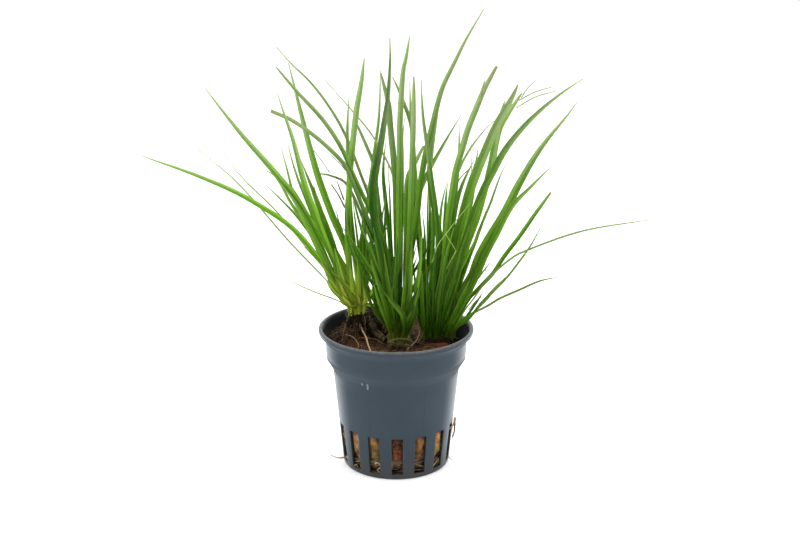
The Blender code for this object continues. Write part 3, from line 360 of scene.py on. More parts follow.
# Young leaves that close the gaps between the crowns: they grow with the inner blades
YOUNG_FANS = {
    "left": (
        Fan(4.0, 0.0, (
            Blade(-11.2, 1.7, 0, 0.2,
                  ((-10.6, 66.5), (-8.8, 75.0), (-7.0, 82.0), (-5.2, 89.6), (-3.8, 97.5))),
            Blade(-10.4, 1.6, 0, 0.1, ((-8.6, 62.0), (-7.4, 68.0), (-6.6, 76.0), (-5.4, 82.0))),
            Blade(-10.0, 1.5, 20, 0.3, ((-7.8, 59.0), (-6.2, 64.0), (-5.8, 70.0))),
            Blade(-10.6, 1.4, 0, 0.3, ((-12.6, 72.0), (-13.2, 80.0), (-14.0, 88.0), (-15.0, 97.0))),
            Blade(-15.5, 1.4, 0, 0.5, ((-21.5, 75.0), (-27.5, 86.5), (-33.0, 97.0), (-37.0, 104.0))),
            Blade(-13.8, 1.3, 0, 0.3,
                  ((-19.0, 72.0), (-22.0, 82.5), (-24.5, 90.0), (-27.0, 97.0), (-28.5, 103.0))),
            Blade(-18.0, 1.4, 0, 0.9, ((-18.6, 59.5), (-20.2, 62.5), (-22.5, 67.0))),
        )),
        Fan(-2.5, -6.0, (
            Blade(-13.5, 2.4, 10, 0.7,
                  ((-16.4, 58.7), (-18.8, 62.0), (-21.3, 65.8), (-23.6, 69.6), (-26.4, 74.6))),
            Blade(-12.6, 2.2, -10, 0.35, ((-14.9, 61.3), (-16.7, 64.6), (-18.1, 68.4), (-19.6, 73.0))),
            Blade(-14.4, 2.2, 0, 1.0, ((-17.6, 59.6), (-20.2, 63.2), (-22.6, 66.8), (-25.0, 70.8))),
            Blade(-11.2, 1.9, 0, 0.6, ((-10.9, 60.9), (-11.2, 64.6), (-11.5, 68.4), (-11.4, 73.0))),
            Blade(-12.2, 2.0, 0, 0.2, ((-13.4, 60.5), (-14.4, 64.0), (-15.2, 68.0), (-15.9, 72.5))),
        )),
    ),
    "middle": (
        Fan(-3.0, -10.0, (
            Blade(-3.8, 2.1, 20, 0.7,
                  ((-5.7, 56.0), (-8.9, 63.1), (-11.7, 69.8), (-14.8, 77.2), (-16.8, 84.5), (-17.4, 92.1),
                   (-17.0, 99.3), (-16.2, 104.6))),
            Blade(-3.4, 1.8, 0, 0.15,
                  ((-2.2, 59.0), (-3.9, 70.2), (-6.0, 79.4), (-9.8, 88.5), (-13.2, 95.7))),
            Blade(-2.6, 1.6, 10, 0.1, ((-4.3, 60.9), (-5.3, 68.4), (-6.4, 75.0), (-8.1, 80.1))),
            Blade(-1.8, 1.3, 0, 0.2, ((-2.8, 62.0), (-3.4, 75.0), (-3.7, 82.0), (-3.9, 88.5), (-3.5, 101.0))),
            Blade(-0.6, 1.3, 0, 0.25,
                  ((-0.9, 62.0), (-1.1, 73.9), (-1.6, 83.0), (-2.2, 99.3), (-2.7, 110.6))),
            Blade(-5.0, 1.4, 0, 0.3, ((-6.6, 57.0), (-7.6, 64.0), (-8.4, 72.0))),
            Blade(-4.6, 1.3, 10, 0.6, ((-7.6, 56.5), (-10.0, 63.0), (-12.4, 70.0), (-14.0, 78.0))),
            Blade(-4.2, 1.2, 0, 0.15, ((-5.6, 60.0), (-6.0, 68.0), (-7.4, 78.0))),
        )),
        Fan(-13.4, -14.0, (
            Blade(2.6, 1.0, 0, 1.0, ((4.2, 53.5), (5.8, 57.6), (6.6, 60.5))),
            Blade(4.5, 1.0, 0, 1.0, ((6.2, 55.0), (7.6, 61.0), (9.0, 66.5))),
        )),
    ),
    "right": (
        Fan(0.0, -6.0, (
            Blade(9.8, 1.4, 0, 0.3, ((10.6, 64.0), (11.4, 76.0), (11.8, 84.0), (11.9, 92.0), (11.4, 101.0))),
            Blade(21.0, 1.2, 0, 0.5, ((24.6, 54.0), (27.6, 58.5), (31.0, 64.0))),
            Blade(21.4, 1.8, 0, 0.8,
                  ((25.0, 52.9), (27.1, 55.3), (29.5, 58.7), (32.3, 62.0), (35.4, 65.8),
                   (38.6, 69.4)), dry=0.4),
            Blade(13.0, 2.3, 0, 0.35,
                  ((18.3, 79.4), (19.6, 87.4), (20.9, 95.7), (22.9, 102.8), (25.5, 108.8), (26.9, 111.6))),
            Blade(9.6, 1.2, 0, 0.4, ((9.6, 70.0), (10.2, 80.0), (9.9, 87.0), (9.2, 93.0))),
            Blade(16.0, 1.9, 0, 0.5, ((25.4, 75.8), (27.4, 81.2), (29.5, 87.4), (31.6, 93.2), (33.7, 97.5))),
            Blade(8.9, 1.6, 0, 0.3, ((7.4, 57.0), (7.0, 64.4), (6.3, 72.8))),
            Blade(9.4, 1.7, 0, 0.3, ((8.2, 60.9), (8.5, 70.2), (9.1, 77.6), (9.8, 84.9))),
        )),
    ),
}

# The bare rhizome from the left crown down to the middle one: its course and half its width
RHIZOME_COURSE = ((-14.2, 3.2, 56.6), (-12.4, 2.0, 55.8), (-10.2, 0.2, 54.0), (-8.4, -2.6, 51.6),
                  (-6.6, -5.0, 49.6), (-3.6, -7.4, 48.4))
RHIZOME_RADII = (2.3, 2.0, 1.5, 1.25, 1.15, 1.0)

# Roots and twigs: the half-width, the tone from 0, dark, to 1, pale, and the course
Root = namedtuple("Root", "radius tone course")

HANGING_ROOT = (
    Root(0.3, 0.9, ((17.6, -6.0, 12.6), (19.8, -6.3, 14.6), (20.7, -6.3, 15.8), (20.9, -5.8, 17.4),
                    (21.1, -5.1, 18.2), (21.3, -4.5, 17.6))),
    Root(0.34, 0.1, ((21.3, -4.5, 17.6), (21.2, -4.4, 15.6), (21.2, -4.3, 13.4), (20.9, -4.4, 11.4),
                     (20.4, -4.6, 9.7))),
    Root(0.14, 0.8, ((21.0, -4.5, 16.2), (20.5, -5.3, 15.4), (20.2, -6.2, 13.4), (20.3, -5.4, 11.2),
                     (20.4, -4.7, 9.9))),
)
STRAY_ROOT = (
    Root(0.2, 0.7, ((-17.2, -6.1, 3.2), (-18.8, -6.5, 2.8), (-20.2, -6.8, 2.7), (-22.0, -7.0, 3.2),
                    (-24.1, -7.2, 4.3))),
    Root(0.1, 0.5, ((-18.6, -6.4, 2.9), (-20.0, -7.4, 3.4), (-21.6, -7.9, 3.3))),
)
FOOT_ROOTS = (
    Root(0.3, 1.0, ((-11.1, -15.6, 5.1), (-12.0, -15.0, 4.6), (-12.5, -14.5, 3.4), (-12.3, -14.7, 2.5),
                    (-11.6, -15.3, 2.1), (-11.1, -15.6, 2.5))),
    Root(0.24, 0.9, ((-18.1, -4.9, 2.6), (-17.6, -7.4, 3.0), (-16.7, -9.2, 2.4), (-15.9, -10.3, 3.2),
                     (-16.5, -9.6, 4.2))),
    Root(0.2, 0.8, ((-15.0, -11.7, 2.1), (-14.2, -12.7, 3.0), (-13.7, -13.2, 2.2))),
    Root(0.28, 0.75, ((-7.5, -17.4, 5.5), (-6.6, -17.8, 6.1), (-5.7, -18.1, 5.6), (-5.2, -18.3, 4.7),
                      (-6.0, -18.0, 4.0), (-6.6, -17.8, 3.1), (-5.7, -18.1, 2.5))),
    Root(0.36, 0.15, ((12.1, -14.6, 2.3), (12.5, -14.3, 3.7), (13.6, -13.3, 5.1), (14.7, -12.1, 5.2),
                      (15.2, -11.3, 3.7), (14.5, -12.1, 2.6))),
    Root(0.22, 0.85, ((12.8, -13.9, 2.4), (13.9, -12.9, 3.4), (14.9, -11.8, 4.4))),
    Root(0.3, 0.1, ((17.0, -8.4, 2.4), (17.5, -7.4, 3.6), (18.1, -5.9, 5.2), (18.0, -5.4, 3.8),
                    (17.8, -6.6, 2.8), (18.7, -5.0, 2.6))),
    Root(0.12, 0.2, ((17.9, -6.6, 4.0), (19.2, -6.8, 3.0), (20.2, -7.0, 2.0))),
)
TOP_ROOTS = (
    Root(0.34, 0.85, ((-13.6, -1.0, 54.4), (-12.6, -3.9, 52.5), (-11.8, -5.8, 51.3), (-10.5, -9.4, 50.2),
                      (-9.7, -13.4, 48.9), (-8.8, -16.9, 47.8), (-8.6, -18.0, 47.0))),
    Root(0.2, 0.6, ((-17.5, 2.0, 50.4), (-15.4, 0.3, 51.0), (-13.6, -1.9, 51.5), (-12.1, -4.5, 51.2))),
    Root(0.16, 0.5, ((-16.9, -1.0, 50.2), (-14.9, -3.3, 50.5), (-12.8, -3.9, 51.0), (-11.0, -3.6, 52.0))),
    Root(0.34, 0.35, ((-11.2, 1.0, 53.6), (-10.0, -1.0, 52.6), (-7.1, -2.9, 51.0), (-3.9, -6.0, 49.2),
                      (-1.1, -9.7, 48.2))),
    Root(0.18, 0.55, ((-2.4, -9.2, 48.6), (-0.4, -10.9, 50.0), (2.1, -11.4, 50.4), (4.9, -10.4, 49.6),
                      (5.6, -9.6, 48.2))),
    Root(0.2, 0.6, ((3.8, -13.6, 47.2), (5.4, -12.2, 48.2), (6.9, -10.0, 49.0), (7.9, -7.4, 50.0),
                    (8.2, -5.0, 51.4), (7.2, -3.9, 52.5))),
    Root(0.14, 0.4, ((7.4, -8.4, 47.4), (8.6, -7.2, 49.0), (9.6, -6.4, 51.2), (9.0, -5.0, 53.0))),
    Root(0.16, 0.4, ((-12.2, -6.0, 48.9), (-9.4, -7.4, 49.2), (-6.8, -7.0, 48.4), (-4.4, -9.0, 47.6))),
    Root(0.13, 0.7, ((-18.0, -3.2, 49.0), (-15.6, -6.2, 49.4), (-13.6, -9.8, 48.6), (-13.0, -12.8, 47.6))),
)

# Fine dry hairs between the leaves: the half-width, the depth at both ends, the tone, and the course
Hair = namedtuple("Hair", "radius near far tone course")
HAIRS = (
    Hair(0.22, -12.6, -13.4, 0.55, ((42.6, 133.2), (44.6, 136.4), (47.1, 138.9))),
    Hair(0.22, -12.4, -13.0, 0.55, ((41.8, 132.3), (46.8, 135.0), (52.9, 136.9))),
    Hair(0.22, -12.2, -13.0, 0.55, ((40.8, 129.6), (47.0, 133.3), (54.3, 135.5))),
    Hair(0.14, 9.4, 8.8, 0.3, ((26.2, 106.0), (25.9, 113.0), (25.7, 120.4))),
    Hair(0.12, 8.2, 8.0, 0.4, ((30.6, 90.4), (32.9, 92.2), (34.5, 94.6))),
    Hair(0.2, -3.4, -3.8, 0.3, ((25.6, 57.0), (26.7, 58.4), (28.2, 60.4), (29.8, 61.7), (31.2, 62.0))),
    Hair(0.12, -3.4, -4.0, 0.5, ((31.0, 75.2), (31.7, 72.8), (31.2, 70.4), (30.4, 68.7))),
    Hair(0.16, -14.0, -20.0, 1.0, ((12.7, 75.0), (14.7, 81.2), (17.2, 84.9), (20.6, 89.6), (24.0, 93.9),
                                   (25.7, 96.4))),
    Hair(0.13, -15.0, -15.6, 1.0, ((17.3, 85.3), (19.2, 82.2), (21.1, 79.0))),
    Hair(0.13, -15.6, -11.0, 0.9, ((21.1, 79.0), (18.8, 74.6), (16.9, 70.2))),
    Hair(0.13, -27.2, -27.6, 0.2, ((28.9, 133.4), (29.5, 136.2), (30.2, 139.2))),
    Hair(0.32, 4.0, 6.0, 0.1, ((-17.7, 94.6), (-20.0, 99.3), (-22.5, 103.2))),
    Hair(0.3, 5.0, 6.0, 0.1, ((-18.5, 86.0), (-20.0, 90.0), (-20.8, 93.5))),
    Hair(0.3, 4.0, 5.0, 0.1, ((-18.1, 97.5), (-19.3, 101.0), (-20.4, 104.2))),
    Hair(0.2, 2.0, 0.0, 0.1, ((-22.8, 107.1), (-25.9, 111.8), (-28.8, 115.8))),
    Hair(0.2, 2.0, 0.0, 0.1, ((-17.2, 107.8), (-20.7, 111.8), (-24.4, 115.1))),
    Hair(0.18, -10.0, -9.0, 0.1, ((-9.9, 102.2), (-12.3, 107.2), (-14.4, 111.8))),
    Hair(0.3, 9.0, 8.0, 0.5, ((20.2, 99.5), (21.6, 104.2), (23.2, 106.4), (26.0, 109.3))),
)

# Colours
POT_GREY = (0.034, 0.05, 0.066, 1.0)
# Painted sheen towards the pot's edges
POT_PAINTED_SHEEN = (0.34, 0.37, 0.4, 1.0)
# Painted shade on the pot's inner face
POT_INSIDE_SHADE = (0.006, 0.005, 0.004, 1.0)
POT_SOIL = (0.07, 0.052, 0.036, 1.0)
POT_SCUFF = (0.36, 0.38, 0.38, 1.0)
LIP_DUST = (0.15, 0.14, 0.12, 1.0)
WOOL_BROWN = (0.06, 0.03, 0.014, 1.0)
LEAF_DEEP = (0.021, 0.082, 0.003, 1.0)
LEAF_BRIGHT = (0.22, 0.43, 0.035, 1.0)
LEAF_BASE = (0.68, 0.7, 0.09, 1.0)
# Painted light on the upper leaves
LEAF_PAINTED_LIGHT = (0.4, 0.49, 0.26, 1.0)
LEAF_TIP = (0.22, 0.16, 0.09, 1.0)
LEAF_DRY = (0.28, 0.27, 0.18, 1.0)
RHIZOME_OLIVE = (0.13, 0.11, 0.03, 1.0)
RHIZOME_SOIL = (0.022, 0.009, 0.004, 1.0)
RHIZOME_SCALE = (0.012, 0.007, 0.004, 1.0)
ROOT_DARK = (0.022, 0.011, 0.005, 1.0)
ROOT_PALE = (0.55, 0.38, 0.22, 1.0)
FIBRE_DARK = (0.1, 0.04, 0.02, 1.0)
FIBRE_PALE = (0.5, 0.3, 0.16, 1.0)
HAIR_DARK = (0.12, 0.1, 0.07, 1.0)
HAIR_PALE = (0.3, 0.46, 0.1, 1.0)
STAGE_WHITE = (0.9, 0.9, 0.9, 1.0)
SURROUND_WHITE = (1.0, 1.0, 1.0, 1.0)
SURROUND_DIM = (0.16, 0.16, 0.16, 1.0)

# The stage, in metres: each lamp has its name, its place, its width and its power
FLOOR_REACH = 6.0
FLOOR_GLOW = 0.16
LAMPS = (
    ("top_light", (0.0, 0.1, 0.9), 0.9, 9.0),
    ("left_light", (-0.8, -0.5, 0.5), 0.5, 3.0),
    ("right_light", (0.8, -0.3, 0.5), 0.5, 3.0),
)

# What a colour is multiplied by: between and in the wool's clumps, in a leaf's veins, on its turned half and
# low down in the plant, both painted shade, and in a root's wrinkles
WOOL_SHADE = (0.34, 0.3, 0.26, 1.0)
WOOL_LIGHT = (1.25, 1.2, 1.1, 1.0)
VEIN_SHADE = (0.58, 0.72, 0.4, 1.0)
HALF_SHADE = (0.46, 0.58, 0.34, 1.0)
LOW_SHADE = (0.3, 0.33, 0.2, 1.0)
WRINKLE_SHADE = (0.55, 0.5, 0.45, 1.0)

# Pale scuffs on the pot's front: their middles and half sizes
SCUFFS = (((-11.8, -19.5, 36.6), (0.35, 3.0, 0.9)), ((-9.8, -20.5, 36.1), (0.45, 3.0, 1.6)))

# Stains of the plug, and painted shadow by the left wall: a place, how far the mark reaches, and its colour.
# The weights say how much a mark and the wool's own colour count in the blend.
BASE_WEIGHT = 0.35
MARK_WEIGHT = 3.0
WoolMark = namedtuple("WoolMark", "place reach colour")
STAINS_AND_SHADOW = (
    WoolMark((-14.0, -2.0, 49.0), 5.5, (0.1, 0.036, 0.018)),
    # The next three near-black marks are painted shadow in the dark gap by the pot's left wall
    WoolMark((-22.5, -8.0, 47.0), 5.0, (0.004, 0.003, 0.002)),
    WoolMark((-22.5, -1.0, 48.0), 6.0, (0.004, 0.003, 0.002)),
    WoolMark((-21.0, 6.0, 48.0), 6.0, (0.004, 0.003, 0.002)),
    WoolMark((-7.0, 0.0, 46.0), 6.0, (0.016, 0.01, 0.007)),
    WoolMark((6.0, -4.0, 47.0), 6.0, (0.02, 0.013, 0.008)),
    WoolMark((-7.0, -19.0, 47.0), 4.5, (0.15, 0.1, 0.045)),
    WoolMark((3.0, -20.0, 47.0), 4.5, (0.17, 0.13, 0.06)),
    WoolMark((12.0, -17.0, 47.0), 5.0, (0.17, 0.06, 0.03)),
    WoolMark((17.6, -10.0, 46.5), 3.0, (0.24, 0.045, 0.02)),
    WoolMark((-16.0, -8.6, 12.0), 4.2, (0.55, 0.33, 0.15)),
    WoolMark((-11.0, -15.0, 12.5), 3.2, (0.8, 0.45, 0.19)),
    WoolMark((-7.4, -17.0, 12.5), 3.0, (0.36, 0.22, 0.09)),
    WoolMark((-7.4, -17.0, 8.8), 2.4, (0.2, 0.15, 0.04)),
    WoolMark((0.4, -18.6, 14.5), 2.6, (0.06, 0.022, 0.012)),
    WoolMark((0.4, -18.6, 9.5), 3.2, (0.2, 0.06, 0.03)),
    WoolMark((8.2, -16.6, 13.5), 3.0, (0.34, 0.18, 0.07)),
    WoolMark((8.2, -16.6, 9.0), 2.8, (0.16, 0.08, 0.03)),
    WoolMark((13.8, -12.4, 12.5), 3.4, (0.62, 0.33, 0.12)),
    WoolMark((13.8, -12.4, 8.8), 2.2, (0.36, 0.3, 0.08)),
    WoolMark((17.6, -6.2, 12.0), 4.0, (0.6, 0.3, 0.12)),
)


class PotSettings(bpy.types.PropertyGroup):
    """Sizes and colours of the net pot."""

    columns: IntProperty(name="Columns", description="Columns of faces for each slot and its rib", default=12,
                         min=4, max=24)
    edge: FloatProperty(name="Edge", description="Rounding of the slots' edges", default=0.12 * MM,
                        subtype="DISTANCE", unit="LENGTH")
    colour: FloatVectorProperty(name="Plastic", description="Colour of the plastic", default=POT_GREY, size=4,
                                subtype="COLOR")
    roughness: FloatProperty(name="Roughness", description="Roughness of the moulded face", default=0.6,
                             subtype="FACTOR", min=0.0, max=1.0)


class FillingSettings(bpy.types.PropertyGroup):
    """Sizes and colours of the mineral-wool plug and the roots."""

    fibre_count: IntProperty(name="Fibres", description="Loose fibres on the plug", default=1500, min=0)
    fibre_radius: FloatProperty(name="Fibre Radius", description="Half the width of a loose fibre",
                                default=0.045 * MM, subtype="DISTANCE", unit="LENGTH")
    crown_root_count: IntProperty(name="Crown Roots", description="Fine roots round each crown's foot",
                                  default=70, min=0)
    litter_count: IntProperty(name="Litter", description="Dead roots between the left and the middle crown",
                              default=110, min=0)
    tangle_count: IntProperty(name="Tangle", description="Roots in the mat under the plug", default=170,
                              min=0)
    colour: FloatVectorProperty(name="Wool", description="Colour of the mineral wool", default=WOOL_BROWN,
                                size=4, subtype="COLOR")


class LeafSettings(bpy.types.PropertyGroup):
    """Sizes and colours of the leaves and the crowns."""

    steps: IntProperty(name="Steps", description="Stretches along each leaf", default=44, min=8)
    thickness: FloatProperty(name="Thickness", description="A leaf's half-thickness over its half-width",
                             default=0.17, subtype="FACTOR", min=0.02, max=1.0)
    channel: FloatProperty(name="Channel", description="Depth of a leaf's trough over its half-width",
                           default=0.42, subtype="FACTOR", min=0.0, max=1.0)
    followers: IntProperty(name="Followers", description="Young leaves that hug each crown's leaves",
                           default=20, min=0)
    crossers: IntProperty(name="Crossers", description="Young leaves that lean across each crown",
                          default=24, min=0)
    deep: FloatVectorProperty(name="Deep Green", description="Colour of a shaded old leaf", default=LEAF_DEEP,
                              size=4, subtype="COLOR")
    bright: FloatVectorProperty(name="Bright Green", description="Colour of a young leaf",
                                default=LEAF_BRIGHT, size=4, subtype="COLOR")
    base: FloatVectorProperty(name="Leaf Base", description="Colour of a young leaf's foot",
                              default=LEAF_BASE, size=4, subtype="COLOR")


class StageSettings(bpy.types.PropertyGroup):
    """The floor, the light and the camera."""

    lens: FloatProperty(name="Lens", description="Focal length on a frame 36 mm wide", default=59.45,
                        subtype="NONE")
    tilt: FloatProperty(name="Tilt", description="The camera's pitch from straight down",
                        default=math.radians(73.2), subtype="ANGLE", unit="ROTATION")
    daylight: FloatProperty(name="Surround", description="Brightness of the white surround", default=1.0,
                            min=0.0)
    floor: FloatVectorProperty(name="Floor", description="Colour of the floor", default=STAGE_WHITE, size=4,
                               subtype="COLOR")


# Node trees

def feed(tree, node, inputs):
    """Link or set a node's inputs, by name or number."""
    for name, value in inputs.items():
        if isinstance(value, bpy.types.NodeSocket):
            tree.links.new(value, node.inputs[name])
        else:
            node.inputs[name].default_value = value


def add_node(tree, kind, inputs=None, **settings):
    """Add a node, set its properties and feed its inputs."""
    node = tree.nodes.new(kind)
    for name, value in settings.items():
        setattr(node, name, value)
    feed(tree, node, inputs or {})
    return node


def new_group(kind, name, inputs, outputs):
    """A node group with named sockets; returns the tree, its input node and its output node."""
    tree = bpy.data.node_groups.new(name, kind)
    for direction, sockets in (("INPUT", inputs), ("OUTPUT", outputs)):
        for socket_name, socket_kind, *default in sockets:
            socket = tree.interface.new_socket(socket_name, in_out=direction, socket_type=socket_kind)
            if default:
                socket.default_value = default[0]
    return tree, tree.nodes.new("NodeGroupInput"), tree.nodes.new("NodeGroupOutput")


def shared(kind, name, build, *values):
    """The data block of this name, built when it is first asked for."""
    return kind.get(name) or build(name, *values)


def maths(tree, operation, *values):
    return add_node(tree, "ShaderNodeMath", dict(enumerate(values)), operation=operation).outputs[0]


def times(tree, first, second):
    return maths(tree, "MULTIPLY", first, second)


def scaled(tree, value, gain, offset):
    return maths(tree, "MULTIPLY_ADD", value, gain, offset)


def mix_colour(tree, factor, first, second, blend="MIX"):
    return add_node(tree, "ShaderNodeMix", {0: factor, 6: first, 7: second}, data_type="RGBA",
                    blend_type=blend).outputs[2]


def tint(tree, factor, colour, by):
    """Multiply a colour by another as far as the factor says."""
    return mix_colour(tree, factor, colour, by, "MULTIPLY")


def ramp(tree, value, low, high, start=0.0, end=1.0):
    """Map a value from low..high to start..end with a smooth, clamped step."""
    return add_node(tree, "ShaderNodeMapRange", {0: value, 1: low, 2: high, 3: start, 4: end},
                    interpolation_type="SMOOTHSTEP").outputs[0]


def attribute(tree, name, output="Fac"):
    return add_node(tree, "ShaderNodeAttribute", attribute_name=name).outputs[output]


def object_place(tree):
    """The place on the piece, and its three parts."""
    place = add_node(tree, "ShaderNodeTexCoord").outputs["Object"]
    return place, add_node(tree, "ShaderNodeSeparateXYZ", {0: place}).outputs


# Shader groups

def build_mottle(name):
    """Patchy variation over the surface at two scales: a mask, and a height for a bump."""
    tree, source, sink = new_group(
        "ShaderNodeTree", name,
        (("Scale", "NodeSocketFloat", 200.0), ("Stretch", "NodeSocketVector", (1.0, 1.0, 1.0)),
         ("Contrast", "NodeSocketFloat", 0.5)),
        (("Mask", "NodeSocketFloat"), ("Height", "NodeSocketFloat")))
    place = add_node(tree, "ShaderNodeTexCoord").outputs["Object"]
    stretched = add_node(tree, "ShaderNodeVectorMath", {0: place, 1: source.outputs["Stretch"]},
                         operation="MULTIPLY").outputs[0]
    size = source.outputs["Scale"]
    coarse = add_node(tree, "ShaderNodeTexNoise", {"Vector": stretched, "Scale": size, "Detail": 4.0,
                                                   "Roughness": 0.6}).outputs[0]
    fine = add_node(tree, "ShaderNodeTexNoise", {"Vector": stretched, "Scale": times(tree, size, 5.3),
                                                 "Detail": 3.0, "Roughness": 0.55}).outputs[0]
    half = times(tree, source.outputs["Contrast"], 0.25)
    mask = ramp(tree, coarse, maths(tree, "SUBTRACT", 0.5, half), maths(tree, "ADD", 0.5, half))
    height = maths(tree, "ADD", times(tree, coarse, 0.6), times(tree, fine, 0.4))
    feed(tree, sink, {"Mask": mask, "Height": height})
    return tree


def build_grain(name):
    """Lines along a leaf or a root: a mask of fine veins that wander a little."""
    tree, source, sink = new_group(
        "ShaderNodeTree", name,
        (("Across", "NodeSocketFloat"), ("Along", "NodeSocketFloat"), ("Veins", "NodeSocketFloat", 9.0),
         ("Wander", "NodeSocketFloat", 1.0)),
        (("Mask", "NodeSocketFloat"),))
    across, along, veins, wander = (source.outputs[key] for key in ("Across", "Along", "Veins", "Wander"))
    flow = add_node(tree, "ShaderNodeCombineXYZ", {0: times(tree, across, 2.4), 1: times(tree, along, 7.0)})
    drift = add_node(tree, "ShaderNodeTexNoise", {"Vector": flow.outputs[0], "Scale": 1.0, "Detail": 2.0})
    shifted = maths(tree, "ADD", times(tree, across, veins), times(tree, drift.outputs[0], wander))
    wave = maths(tree, "SINE", times(tree, shifted, math.pi))
    feed(tree, sink, {"Mask": scaled(tree, wave, 0.5, 0.5)})
    return tree


def mottle(tree, **inputs):
    """Place the patchy group with its own values; gives its outputs."""
    group = shared(bpy.data.node_groups, "Mottle", build_mottle)
    return add_node(tree, "ShaderNodeGroup", inputs, node_tree=group).outputs


def grain(tree, veins, wander):
    """Place the group of lengthwise lines with its own values; gives its mask."""
    group = shared(bpy.data.node_groups, "Lengthwise Grain", build_grain)
    inputs = {"Across": attribute(tree, "across"), "Along": attribute(tree, "along"), "Veins": veins,
              "Wander": wander}
    return add_node(tree, "ShaderNodeGroup", inputs, node_tree=group).outputs["Mask"]


# Materials

def new_material(name):
    """A material with its Principled shader; returns both and the tree."""
    material = bpy.data.materials.new(name)
    material.use_nodes = True
    tree = material.node_tree
    return material, tree, tree.nodes["Principled BSDF"]


def add_bump(tree, shader, height, strength, distance):
    bump = add_node(tree, "ShaderNodeBump", {"Height": height, "Strength": strength, "Distance": distance})
    feed(tree, shader, {"Normal": bump.outputs[0]})


def pot_material(name, settings):
    """Slate moulded plastic: satin, with a painted sheen towards its edges, dusty on the lip, with painted
    shade inside, and with two pale scuffs on its front.
    """
    material, tree, shader = new_material(name)
    patch = mottle(tree, Scale=60.0, Contrast=1.6)
    speck = mottle(tree, Scale=900.0, Contrast=0.6)
    place, (x, y, height) = object_place(tree)
    inside = attribute(tree, "inside")
    darker = tuple(channel * 0.7 for channel in settings.colour[:3]) + (1.0,)
    colour = mix_colour(tree, times(tree, patch["Mask"], 0.4), settings.colour, darker)
    # Painted sheen: the colour turns lighter where the face turns away from the eye, but not on faces that
    # look down
    turned = add_node(tree, "ShaderNodeLayerWeight").outputs["Facing"]
    face = add_node(tree, "ShaderNodeNewGeometry").outputs["Normal"]
    upright = ramp(tree, add_node(tree, "ShaderNodeSeparateXYZ", {0: face}).outputs[2], -0.3, -0.1)
    colour = mix_colour(tree, times(tree, ramp(tree, turned, 0.45, 1.0), upright), colour, POT_PAINTED_SHEEN)
    lip = ramp(tree, height, (POT_HEIGHT - 0.7) * MM, (POT_HEIGHT - 0.1) * MM)
    dust = times(tree, lip, scaled(tree, speck["Mask"], 0.4, 0.25))
    # Painted shade: the inner face below the lip turns almost black
    inside_shade = times(tree, maths(tree, "SUBTRACT", 1.0, lip), inside)
    colour = mix_colour(tree, times(tree, inside_shade, 0.93), colour, POT_INSIDE_SHADE)
    colour = mix_colour(tree, dust, colour, LIP_DUST)
    soil = ramp(tree, height, 1.0 * MM, 11.0 * MM, 0.6, 0.0)
    soil = times(tree, soil, scaled(tree, patch["Mask"], 0.7, 0.3))
    colour = mix_colour(tree, soil, colour, POT_SOIL)
    bearing = maths(tree, "ARCTAN2", x, times(tree, y, -1.0))
    for angle in MOULD_LINES:
        aside = maths(tree, "ABSOLUTE", maths(tree, "SUBTRACT", bearing, angle))
        below = ramp(tree, height, 36.0 * MM, 33.0 * MM)
        line = times(tree, ramp(tree, aside, 0.003, 0.012, 0.5, 0.0), below)
        colour = mix_colour(tree, line, colour, darker)
    for middle, size in SCUFFS:
        offset = add_node(tree, "ShaderNodeVectorMath", {0: place, 1: Vector(middle) * MM},
                          operation="SUBTRACT").outputs[0]
        shape = add_node(tree, "ShaderNodeVectorMath", {0: offset, 1: [1.0 / (side * MM) for side in size]},
                         operation="MULTIPLY").outputs[0]
        reach = add_node(tree, "ShaderNodeVectorMath", {0: shape}, operation="LENGTH").outputs[1]
        mark = times(tree, ramp(tree, reach, 0.5, 1.0, 0.6, 0.0), speck["Mask"])
        colour = mix_colour(tree, mark, colour, POT_SCUFF)
    rough = scaled(tree, patch["Mask"], 0.08, settings.roughness - 0.04)
    feed(tree, shader, {"Base Color": colour, "Roughness": scaled(tree, inside, 0.35, rough),
                        "Specular IOR Level": 0.16})
    add_bump(tree, shader, speck["Height"], 0.12, 0.05 * MM)
    return material


def wool_material(name):
    """Matt mineral wool: brown, with the stains and the painted shadow held on the mesh, and dark specks."""
    material, tree, shader = new_material(name)
    clumps = mottle(tree, Scale=420.0, Contrast=0.8)
    threads = mottle(tree, Scale=900.0, Stretch=(1.0, 1.0, 0.16), Contrast=0.7)
    # The mesh's colour holds the stains and the painted shadow by the left wall
    wool_mark = attribute(tree, "wool_mark", "Color")
    dark = tint(tree, 1.0, wool_mark, WOOL_SHADE)
    colour = mix_colour(tree, clumps["Mask"], dark, tint(tree, 1.0, wool_mark, WOOL_LIGHT))
    colour = mix_colour(tree, times(tree, threads["Mask"], 0.35), colour, dark)
    feed(tree, shader, {"Base Color": colour, "Roughness": 0.95, "Specular IOR Level": 0.2})
    add_bump(tree, shader, maths(tree, "ADD", clumps["Height"], threads["Height"]), 0.8, 0.35 * MM)
    return material


